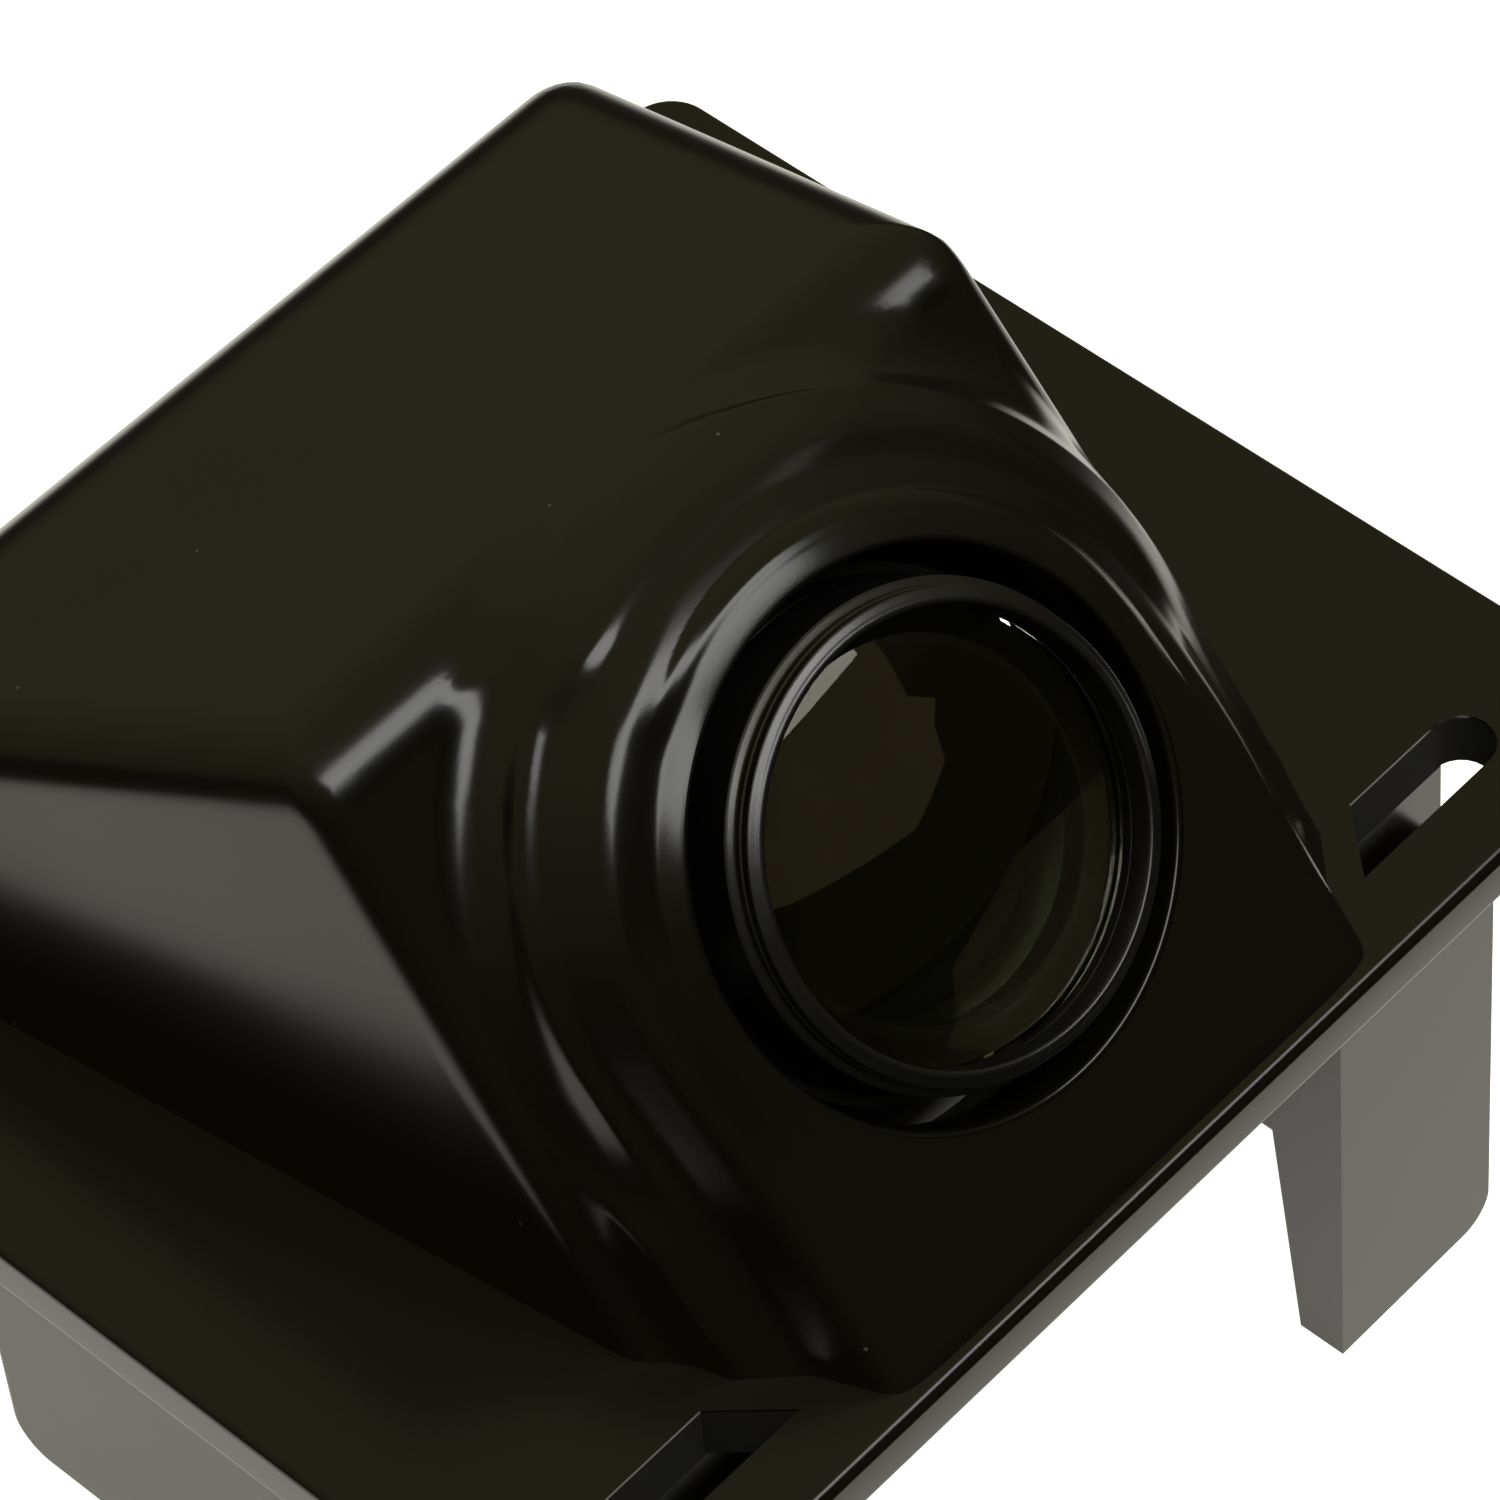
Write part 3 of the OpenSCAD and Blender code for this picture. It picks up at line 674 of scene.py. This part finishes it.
def hump_rings(shape, columns):
    """Rings of points over the hump: the lens opening's floor, its rim, the face, walls and back."""
    b = shape.b
    axes = np.stack([[1, 0, 0], shape.up, shape.out])
    angles = np.arange(columns) * 2 * math.pi / columns
    ring = np.stack([np.cos(angles), np.sin(angles)], axis=1)

    def from_lens(points):
        return shape.centre + points @ axes

    def circle(r, h):
        return from_lens(np.column_stack([ring * r, np.full(columns, h)]))

    lip_r = 0.18
    top = float(shape.boss_height(np.array(b["hole_r"] + lip_r), np.array(0.0)))
    rings = [circle(b["hole_r"], h) for h in (OPENING_FLOOR, -4.0, -2.0, -1.0, top - lip_r - 0.15)]
    for a in np.radians(np.linspace(0, 90, 7)):
        rings.append(circle(b["hole_r"] + lip_r * (1 - math.cos(a)), top + lip_r * (math.sin(a) - 1)))
    # rays start on the optical axis, well behind the boss, where all of the skin is in sight
    depth = 12.0
    origin = from_lens(np.array([[0, 0, -depth]]))[0]
    half_a, low_b, high_b = 1.70, -1.08, 1.45
    scale = np.minimum(
        half_a / np.maximum(np.abs(ring[:, 0]), 1e-9),
        np.where(ring[:, 1] > 0, high_b, -low_b) / np.maximum(np.abs(ring[:, 1]), 1e-9),
    )
    outline = ring * scale[:, None]
    start = ring * (b["hole_r"] + lip_r + 0.03) / depth
    cage = []
    for t in np.linspace(0, 1, 92) ** 1.2:
        flat = start + (outline - start) * t
        cage.append(from_lens(np.column_stack([flat, np.ones(columns)]) * [1, 1, 0] + [0, 0, 1 - depth]))
    front = from_lens(np.column_stack([outline * 7.5, np.full(columns, 7.5 - depth)]))
    lift = (outline[:, 1] - low_b) / (high_b - low_b)
    back_z = -HUMP_DEPTH + (b["roof_back_z"] + HUMP_DEPTH) * lift
    back_y = np.full(columns, b["back_foot_y"] - 0.4)
    half = b["side_half_w"] + shape.spread * back_y - shape.draft * back_z
    back = np.column_stack([outline[:, 0] / half_a * half, back_y, back_z])
    for s in np.linspace(0, 1, 46)[1:]:
        eased = 0.5 * s + 0.5 * s * s
        cage.append(front + (back - front) * eased)
    middle = back.mean(axis=0)
    for s in (0.1, 0.25, 0.45, 0.7, 0.9):
        cage.append(back + (middle - back) * s + [0, 1.0 * s, 0])
    cage = np.array(cage)
    directions = (cage - origin).reshape(-1, 3)
    directions /= np.linalg.norm(directions, axis=1)[:, None]
    hits = skin_hits(shape, origin, directions).reshape(cage.shape)
    return np.concatenate([np.array(rings), hits])


def tube(rings):
    """A closed solid from rings of points: a grid moved onto them, its seam joined and its ends filled."""
    rows, columns, _ = rings.shape
    points = np.concatenate([rings, rings[:, :1]], axis=1).reshape(-1, 3)
    bm = bmesh.new()
    bmesh.ops.create_grid(bm, x_segments=columns, y_segments=rows - 1, size=1)
    for vert, point in zip(bm.verts, points):
        vert.co = point
    bmesh.ops.remove_doubles(bm, verts=bm.verts, dist=1e-5)
    bmesh.ops.holes_fill(bm, edges=[e for e in bm.edges if e.is_boundary], sides=0)
    bmesh.ops.recalc_face_normals(bm, faces=bm.faces)
    return bm


def plate_solid(b, width, depth):
    """The flat plate with rounded corners and rims."""
    bm = box_solid((-width / 2, 0, -b["plate_t"]), (width / 2, depth, 0))
    upright = [e for e in bm.edges if abs(e.verts[0].co.z - e.verts[1].co.z) > 1]
    bevel_edges(bm, upright, b["plate_corner_r"], 10)
    rims = [e for e in bm.edges if abs(e.verts[0].co.z - e.verts[1].co.z) < 1e-4]
    bevel_edges(bm, rims, b["plate_edge_r"], 5)
    return bm


def slot_solid(b):
    """The slot through the plate over the leg's front: slanted inner end, round outer end."""
    r = SLOT_END_R
    outline = [
        (13.45, LEG_FRONT + 2 * r),
        (11.7, LEG_FRONT),
        *arc(SLOT_END - r, LEG_FRONT + r, r, -90, 90, 12),
    ]
    return prism(outline, -b["plate_t"] - 0.02, b["plate_t"] + 1, 2)


def leg_solids(b):
    """One snap leg's side wall and its front return, with rounded feet and edges."""
    top, foot = -b["plate_t"] / 2, -b["leg_h"]
    r = 1.5
    outline = [
        (LEG_BACK, top),
        (LEG_FRONT, top),
        *arc(LEG_FRONT + r, foot + r, r, 180, 270),
        *arc(LEG_BACK - r, foot + r, r, 270, 360),
    ]
    side = prism(outline, LEG_OUTER - LEG_WALL, LEG_WALL, 0)
    long_edges = [e for e in side.edges if abs(e.verts[0].co.x - e.verts[1].co.x) < 1e-4]
    bevel_edges(side, [e for e in long_edges if min(v.co.z for v in e.verts) < top - 0.01], 0.3, 3)
    r = 1.2
    outline = [
        (LEG_OUTER, top),
        (LEG_INNER, top),
        (LEG_INNER, foot),
        *arc(LEG_OUTER - r, foot + r, r, 270, 360),
    ]
    across = prism(outline, LEG_FRONT, RETURN_TOP_T, 1)
    # the return gets thinner towards the foot
    for vert in across.verts:
        if vert.co.y > LEG_FRONT + 1:
            share = (vert.co.z - foot) / (top - foot)
            vert.co.y = LEG_FRONT + RETURN_FOOT_T + (RETURN_TOP_T - RETURN_FOOT_T) * share
    corner = [
        e
        for e in across.edges
        if abs(e.verts[0].co.z - e.verts[1].co.z) > 5
        and e.verts[0].co.x > LEG_OUTER - 0.1
        and e.verts[0].co.y < LEG_FRONT + 0.1
    ]
    bevel_edges(across, corner, 1.0, 6)
    return [side, across]


def notch_solids(b):
    """The snap notches that hold the panel's edge, at the leg's front and back."""
    top = -b["plate_t"]
    return [
        box_solid((10.0, 1.9, top - 3.4), (SLOT_END, 4.45, top)),
        box_solid((15.0, 29.0, top - 3.4), (SLOT_END, 31.6, top)),
    ]


def cavity_solid(b, shape):
    """The hollow of the wedge, open at the bottom: its corner points moved in by the wall."""
    corners = [
        (b["face_foot_y"], 0),
        (b["ridge_y"], b["ridge_z"]),
        (b["roof_back_y"], b["roof_back_z"]),
        (b["back_foot_y"], 0),
    ]
    lines = []
    for (y0, z0), (y1, z1) in zip(corners, corners[1:]):
        run, rise = y1 - y0, z1 - z0
        length = math.hypot(run, rise)
        lines.append((y0 + rise / length * b["wall"], z0 - run / length * b["wall"], run, rise))

    def cross(one, other):
        y0, z0, a, c = one
        y1, z1, d, e = other
        t = ((y1 - y0) * e - (z1 - z0) * d) / (a * e - c * d)
        return y0 + a * t, z0 + c * t

    floor = (0, -b["plate_t"] - 1, 1, 0)
    outline = [cross(*pair) for pair in zip([floor, *lines], [*lines, floor])]
    bm = prism(outline, -1, 2, 0)
    for vert in bm.verts:
        half = b["side_half_w"] + shape.spread * vert.co.y - shape.draft * vert.co.z - b["wall"]
        vert.co.x = math.copysign(half, vert.co.x)
    inner = [e for e in bm.edges if max(v.co.z for v in e.verts) > -b["plate_t"]]
    bevel_edges(bm, inner, 0.5, 3)
    return bm


def screw_bosses(r, back, front):
    """Two pegs along the optical axis beside the lens, for the module's screws."""

    def peg():
        bm = spun([(0, back), (r, back), (r, front), (0, front)], 32)
        bmesh.ops.translate(bm, vec=(10.1, 2.5, 0), verts=bm.verts)
        bmesh.ops.transform(bm, matrix=lens_to_plate(), verts=bm.verts)
        return bm

    return mirrored(peg)


class CAMERA_OT_bezel(bpy.types.Operator):
    """Builds the one-piece bezel: plate, wedge, lens boss and snap legs"""

    bl_idname = "backup_camera.bezel"
    bl_label = "Bezel"

    def execute(self, context):
        bezel, lens, _ = settings()
        shape = HumpShape(bezel, lens)
        b = shape.b
        width, depth = BEZEL_HIGH.x - BEZEL_LOW.x, BEZEL_HIGH.y - BEZEL_LOW.y
        hump = tube(hump_rings(shape, bezel.columns))
        walls, returns = (mirrored(lambda: leg_solids(b)[part]) for part in (0, 1))
        legs = [leg for pair in zip(walls, returns) for leg in pair]
        bm = plate_solid(b, width, depth)
        bm = combine(bm, legs, "UNION")
        for cut in (lambda: notch_solids(b)[0], lambda: notch_solids(b)[1], lambda: slot_solid(b)):
            bm = combine(bm, mirrored(cut), "DIFFERENCE")
        bm = combine(bm, [hump], "UNION")
        pocket = spun(
            [(0, OPENING_FLOOR), (POCKET_R, OPENING_FLOOR), (POCKET_R, POCKET_TOP), (0, POCKET_TOP)], 96
        )
        bmesh.ops.transform(pocket, matrix=lens_to_plate(), verts=pocket.verts)
        bm = combine(bm, [cavity_solid(b, shape), pocket], "DIFFERENCE")
        bm = combine(bm, screw_bosses(1.6, -8.0, -5.2), "UNION")
        bm = combine(bm, screw_bosses(0.8, -8.5, -5.2), "DIFFERENCE")
        piece = new_piece("bezel_moulding", to_part(bm), "root", bezel_abs(), ["bezel"])
        shade(piece)
        return {"FINISHED"}


# ---------------------------------------------------------------- lens


class CAMERA_OT_lens(bpy.types.Operator):
    """Builds the lens barrel, its retaining ring and the front glass"""

    bl_idname = "backup_camera.lens"
    bl_label = "Lens"

    def execute(self, context):
        _, lens, _ = settings()
        glass_r, curve = lens.glass_r / MM, lens.glass_curve_r / MM
        black = anodised_black()
        barrel = spun(
            [
                (2.6, -10.98), (5.1, -10.98), (5.2, -10.88), (5.2, -9.2), (5.9, -9.2), (6.0, -9.1),
                (6.0, -2.2), (6.85, -2.2), (6.95, -2.1), (6.95, 0.18), (6.88, 0.26), (6.75, 0.3), (6.72, 0.34),
                (6.72, 0.55), (6.68, 0.6), (6.42, 0.6), (6.38, 0.56), (6.38, 0.12), (6.24, 0.12), (6.22, 0.1),
                (6.22, -1.38), (4.9, -1.38), (4.9, -3.6), (4.3, -3.6), (4.3, -8.2), (3.4, -8.2), (3.4, -10.6),
                (2.6, -10.6),
            ],
            192,
        )
        piece = new_piece("lens_barrel_turned", to_part(barrel, True), "lens", black, ["lens_barrel"])
        shade(piece)
        ring = spun(
            [
                (6.2, 0.17), (6.34, 0.17), (6.34, 0.62), (6.62, 0.62), (6.68, 0.68), (6.68, 0.86),
                (6.62, 0.92), (6.50, 0.94), (6.44, 1.0), (6.36, 1.04), (6.28, 1.04), (6.22, 1.0), (6.2, 0.94),
            ],
            192,
        )
        piece = new_piece(
            "retaining_ring_turned", to_part(ring, True), "lens", black, ["lens_retaining_ring"]
        )
        shade(piece)
        sag = curve - math.sqrt(curve**2 - glass_r**2)
        cap = [
            (curve * math.sin(a), -0.2 + sag - curve + curve * math.cos(a))
            for a in np.linspace(math.asin(glass_r / curve), 0, 24)
        ]
        glass = spun([(0, -1.35), (glass_r - 0.1, -1.35), (glass_r, -1.25), *cap], 192)
        piece = new_piece(
            "front_glass_dome",
            to_part(glass, True),
            "lens",
            coated_glass("coated_front_glass", linear("#b3b4a8"), linear("#f4f0e0")),
            ["front_lens"],
        )
        shade(piece, 30)
        inner = coated_glass("coated_inner_glass", linear("#b9bfb2"), linear("#bcd8c4"), 1.22)
        paint_nodes(inner, "second_lens", "third_lens", "rear_lens", "sensor_glass")
        paint_nodes(coated_glass("blue_filter_glass", linear("#8fb7c4"), linear("#ffffff")), "ir_filter")
        paint_nodes(blackened_spacer(), "aperture_stop", "lens_spacer")
        return {"FINISHED"}


# ---------------------------------------------------------------- module and small parts


class CAMERA_OT_module(bpy.types.Operator):
    """Finishes the module case, its seals and its screws"""

    bl_idname = "backup_camera.module"
    bl_label = "Camera module"

    def execute(self, context):
        paint_nodes(case_nylon(), "front_case", "rear_case")
        paint_nodes(foam_rubber(), "panel_gasket")
        paint_nodes(nitrile(), "lens_o_ring")
        paint_nodes(silicone(), "case_seal")
        paint_nodes(plated_steel(), "bezel_screws", "case_screws", "board_screws")
        return {"FINISHED"}


class CAMERA_OT_electronics(bpy.types.Operator):
    """Finishes the boards, chips, connectors, pins and shield"""

    bl_idname = "backup_camera.electronics"
    bl_label = "Electronics"

    def execute(self, context):
        paint_nodes(solder_mask(), "sensor_board", "main_board")
        paint_nodes(chip_epoxy(), "image_sensor", "video_processor", "board_socket")
        paint_nodes(ceramic(), "sensor_board_parts", "main_board_parts")
        paint_nodes(connector_nylon(), "board_header")
        paint_nodes(tinned_sheet(), "emi_shield")
        paint_nodes(gold_plate(), "contact_pins")
        return {"FINISHED"}


# ---------------------------------------------------------------- stage


def stage_object(name, bm):
    """A mesh object from a bmesh that belongs to the stage, not to the camera."""
    mesh = bpy.data.meshes.new(name)
    bm.to_mesh(mesh)
    bm.free()
    made = bpy.data.objects.new(name, mesh)
    bpy.context.scene.collection.objects.link(made)
    return made


def outside_painted_shade(tree, parts, box):
    """A share that is 0 inside a soft-edged box of painted shade on the floor and 1 outside it."""
    share = None
    for axis, inner, outer in box:
        side = add_node(
            tree,
            "ShaderNodeMapRange",
            interpolation_type="SMOOTHSTEP",
            links={"Value": parts.outputs[axis]},
            _From_Min=inner,
            _From_Max=outer,
        ).outputs["Result"]
        if share is not None:
            side = add_node(tree, "ShaderNodeMath", operation="MAXIMUM", links={0: share, 1: side}).outputs[0]
        share = side
    return share


def lay_floor(tones):
    """The floor: a glowing board with painted light and shade. To the camera it is pale, with a soft painted
    shade under the part; mirrored in the part it is a smaller, dimmer glowing patch with a wider painted
    shade.
    """
    bm = bmesh.new()
    bmesh.ops.create_circle(bm, cap_ends=True, segments=96, radius=3.0)
    floor = stage_object("floor", bm)
    material, tree, shader, place = new_material("matt_white_board_with_painted_light")
    fibre = add_node(tree, "ShaderNodeTexNoise", links={"Vector": place}, _Scale=1 / (2 * MM), _Detail=2.0)
    tone = add_node(
        tree,
        "ShaderNodeValToRGB",
        links={"Fac": fibre.outputs["Fac"]},
        ramp=(darker(tones.floor, 0.98), tones.floor),
    )
    shader.inputs["Roughness"].default_value = 0.9
    # painted light: in mirrors the board glows near the part, and the glow falls away to the dark studio
    reach = add_node(tree, "ShaderNodeVectorMath", operation="LENGTH", links={0: place})
    painted_light_pool = add_node(
        tree,
        "ShaderNodeMapRange",
        interpolation_type="SMOOTHSTEP",
        links={"Value": reach.outputs["Value"]},
        _From_Min=0.060,
        _From_Max=0.105,
        _To_Min=1.0,
        _To_Max=0.0,
    )
    # it starts just in front of the part, and further back on the left
    parts = add_node(tree, "ShaderNodeSeparateXYZ", links={"Vector": place})
    left = add_node(
        tree,
        "ShaderNodeMapRange",
        interpolation_type="SMOOTHSTEP",
        links={"Value": parts.outputs["X"]},
        _From_Min=-0.010,
        _From_Max=-0.018,
        _To_Max=0.014,
    )
    start = add_node(
        tree, "ShaderNodeMath", operation="SUBTRACT", links={0: parts.outputs["Y"], 1: left.outputs["Result"]}
    )
    front = add_node(
        tree,
        "ShaderNodeMapRange",
        interpolation_type="SMOOTHSTEP",
        links={"Value": start.outputs[0]},
        _From_Min=-0.0345,
        _From_Max=-0.0285,
    )
    both = {0: painted_light_pool.outputs["Result"], 1: front.outputs["Result"]}
    glow = add_node(tree, "ShaderNodeMath", operation="MULTIPLY", links=both)
    dimmed = add_node(tree, "ShaderNodeMath", operation="MULTIPLY", links={0: glow.outputs[0]})
    dimmed.inputs[1].default_value = 0.68
    # in mirrors the painted shade reaches to the part's far side; the camera sees only the soft painted shade
    # below it
    mirrored_shade = outside_painted_shade(
        tree,
        parts,
        (("X", -0.0125, -0.0135), ("X", 0.0338, 0.0350), ("Y", -0.0075, -0.0092), ("Y", 0.0290, 0.0300)),
    )
    seen_shade = outside_painted_shade(
        tree,
        parts,
        (("X", -0.0050, -0.0120), ("X", 0.0140, 0.0220), ("Y", -0.0010, -0.0080), ("Y", 0.0110, 0.0190)),
    )
    both = {0: mirrored_shade, 1: dimmed.outputs[0]}
    product = add_node(tree, "ShaderNodeMath", operation="MULTIPLY", links=both)
    path = add_node(tree, "ShaderNodeLightPath")
    share = add_node(
        tree,
        "ShaderNodeMix",
        links={"Factor": path.outputs["Is Camera Ray"], "A": product.outputs[0], "B": seen_shade},
    )
    tree.links.new(share.outputs[0], shader.inputs["Emission Strength"])
    shader.inputs["Emission Color"].default_value = [1.12, 1.09, 1.0, 1]
    # painted shade: the board's colour turns near black where its glow is taken away
    board_colour_with_painted_shade = add_node(tree, "ShaderNodeMix", data_type="RGBA", links={"Factor": share.outputs[0]})
    board_colour_with_painted_shade.inputs[6].default_value = [0.02, 0.02, 0.015, 1]
    tree.links.new(tone.outputs["Color"], board_colour_with_painted_shade.inputs[7])
    tree.links.new(board_colour_with_painted_shade.outputs[2], shader.inputs["Base Color"])
    floor.data.materials.append(material)


def light_studio(scene, tones):
    """The soft light: a dim studio all round and one long softbox in front."""
    scene.world = bpy.data.worlds.new("studio")
    scene.world.use_nodes = True
    tree = scene.world.node_tree
    ground = tree.nodes["Background"]
    ground.inputs["Strength"].default_value = 1.0
    path = add_node(tree, "ShaderNodeLightPath")
    direction = add_node(tree, "ShaderNodeTexCoord").outputs["Generated"]
    # the studio is dark in front of the lens and a little lighter overhead and behind
    height = add_node(tree, "ShaderNodeVectorMath", operation="DOT_PRODUCT", links={0: direction})
    height.inputs[1].default_value = (0, 0.6, 0.8)
    dim = add_node(
        tree,
        "ShaderNodeValToRGB",
        links={"Fac": height.outputs["Value"]},
        ramp=((0.05, 0.047, 0.03), (0.27, 0.245, 0.135)),
    )
    seen = add_node(tree, "ShaderNodeMix", data_type="RGBA", links={"Factor": path.outputs["Is Camera Ray"]})
    tree.links.new(dim.outputs["Color"], seen.inputs[6])
    seen.inputs[7].default_value = [*tones.floor, 1]
    tree.links.new(seen.outputs[2], ground.inputs["Color"])

    data = bpy.data.lights.new("front_softbox", "AREA")
    data.shape = "RECTANGLE"
    data.size, data.size_y = 1.0, 0.32
    data.energy = 4.4
    lamp = bpy.data.objects.new("front_softbox", data)
    scene.collection.objects.link(lamp)
    place, target = Vector((0.05, -0.40, 0.87)), Vector((0, -0.005, 0.03))
    lamp.location = place
    lamp.rotation_mode = "QUATERNION"
    lamp.rotation_quaternion = (target - place).to_track_quat("-Z", "Y")


def hang_card():
    """A dim brown card that only the front glass mirrors, in its upper left."""
    # the card's corners by their direction from the lens: degrees round from the front, degrees up
    corners = (
        (-32, 29), (-14, 27), (20, 22), (36, 23.5), (41, 28), (47, 29), (44, 35), (53, 41), (62, 48),
        (50, 56), (20, 57), (-32, 55),
    )
    distance = 1.3
    lens_place, facing = Vector((0, -0.012, 0.031)), Vector((0.25, -0.75, 0.61)).normalized()
    bm = bmesh.new()
    outline = []
    for turn, lift in corners:
        turn, lift = math.radians(turn), math.radians(lift)
        way = Vector((math.sin(turn) * math.cos(lift), -math.cos(turn) * math.cos(lift), math.sin(lift)))
        outline.append(bm.verts.new(lens_place + way * (distance / way.dot(facing))))
    bmesh.ops.contextual_create(bm, geom=outline)
    card = stage_object("brown_card", bm)
    card.visible_camera = False
    card.visible_diffuse = False
    mirrored_in = bpy.data.collections.new("card_is_mirrored_in")
    mirrored_in.objects.link(bpy.data.objects["front_glass_dome"])
    card.light_linking.receiver_collection = mirrored_in
    material, tree, shader, place = new_material("brown_card")
    cloud = add_node(tree, "ShaderNodeTexNoise", links={"Vector": place}, _Scale=3.0, _Detail=3.0)
    tone = add_node(
        tree,
        "ShaderNodeValToRGB",
        links={"Fac": cloud.outputs["Fac"]},
        ramp=(linear("#7d7458"), linear("#948a6a")),
    )
    tree.links.new(tone.outputs["Color"], shader.inputs["Emission Color"])
    shader.inputs["Base Color"].default_value = [0, 0, 0, 1]
    shader.inputs["Emission Strength"].default_value = 1.3
    card.data.materials.append(material)


def place_camera(scene):
    eye = Vector((-90.37, -102.33, 190.24)) * MM
    right = Vector((0.67596, -0.73412, -0.06437))
    up = Vector((0.59620, 0.49343, 0.63330))
    data = bpy.data.cameras.new("camera")
    data.sensor_width = 36.0
    data.lens = 183.93
    data.clip_start, data.clip_end = 0.01, 20.0
    camera = bpy.data.objects.new("camera", data)
    scene.collection.objects.link(camera)
    turn = Matrix((right, up, right.cross(up))).transposed()
    camera.matrix_world = Matrix.Translation(eye) @ turn.to_4x4()
    scene.camera = camera


class CAMERA_OT_stage(bpy.types.Operator):
    """Sets the pale floor, the soft studio light and the camera"""

    bl_idname = "backup_camera.stage"
    bl_label = "Stage"

    def execute(self, context):
        scene = context.scene
        _, _, tones = settings()
        scene.view_settings.view_transform = "Standard"
        lay_floor(tones)
        light_studio(scene, tones)
        hang_card()
        place_camera(scene)
        return {"FINISHED"}


# ---------------------------------------------------------------- add-on


class CAMERA_PT_panel(bpy.types.Panel):
    """Lists the camera's pieces, sizes and colours"""

    bl_label = "Backup camera"
    bl_idname = "CAMERA_PT_panel"
    bl_space_type = "VIEW_3D"
    bl_region_type = "UI"
    bl_category = "Backup camera"

    def draw(self, context):
        column = self.layout.column()
        for operator in PIECES:
            column.operator(operator.bl_idname)
        for group in settings():
            for key in group.__annotations__:
                column.prop(group, key)


PIECES = (CAMERA_OT_bezel, CAMERA_OT_lens, CAMERA_OT_module, CAMERA_OT_electronics, CAMERA_OT_stage)
CLASSES = (BezelSizes, LensSizes, CameraColours, *PIECES, CAMERA_PT_panel)


def register():
    for cls in CLASSES:
        bpy.utils.register_class(cls)
    bpy.types.Scene.camera_bezel = PointerProperty(type=BezelSizes)
    bpy.types.Scene.camera_lens = PointerProperty(type=LensSizes)
    bpy.types.Scene.camera_colours = PointerProperty(type=CameraColours)


def unregister():
    del bpy.types.Scene.camera_colours
    del bpy.types.Scene.camera_lens
    del bpy.types.Scene.camera_bezel
    for cls in reversed(CLASSES):
        bpy.utils.unregister_class(cls)


def main():
    register()
    bpy.ops.backup_camera.bezel()
    bpy.ops.backup_camera.lens()
    bpy.ops.backup_camera.module()
    bpy.ops.backup_camera.electronics()
    bpy.ops.backup_camera.stage()
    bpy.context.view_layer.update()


if __name__ == "__main__":
    main()
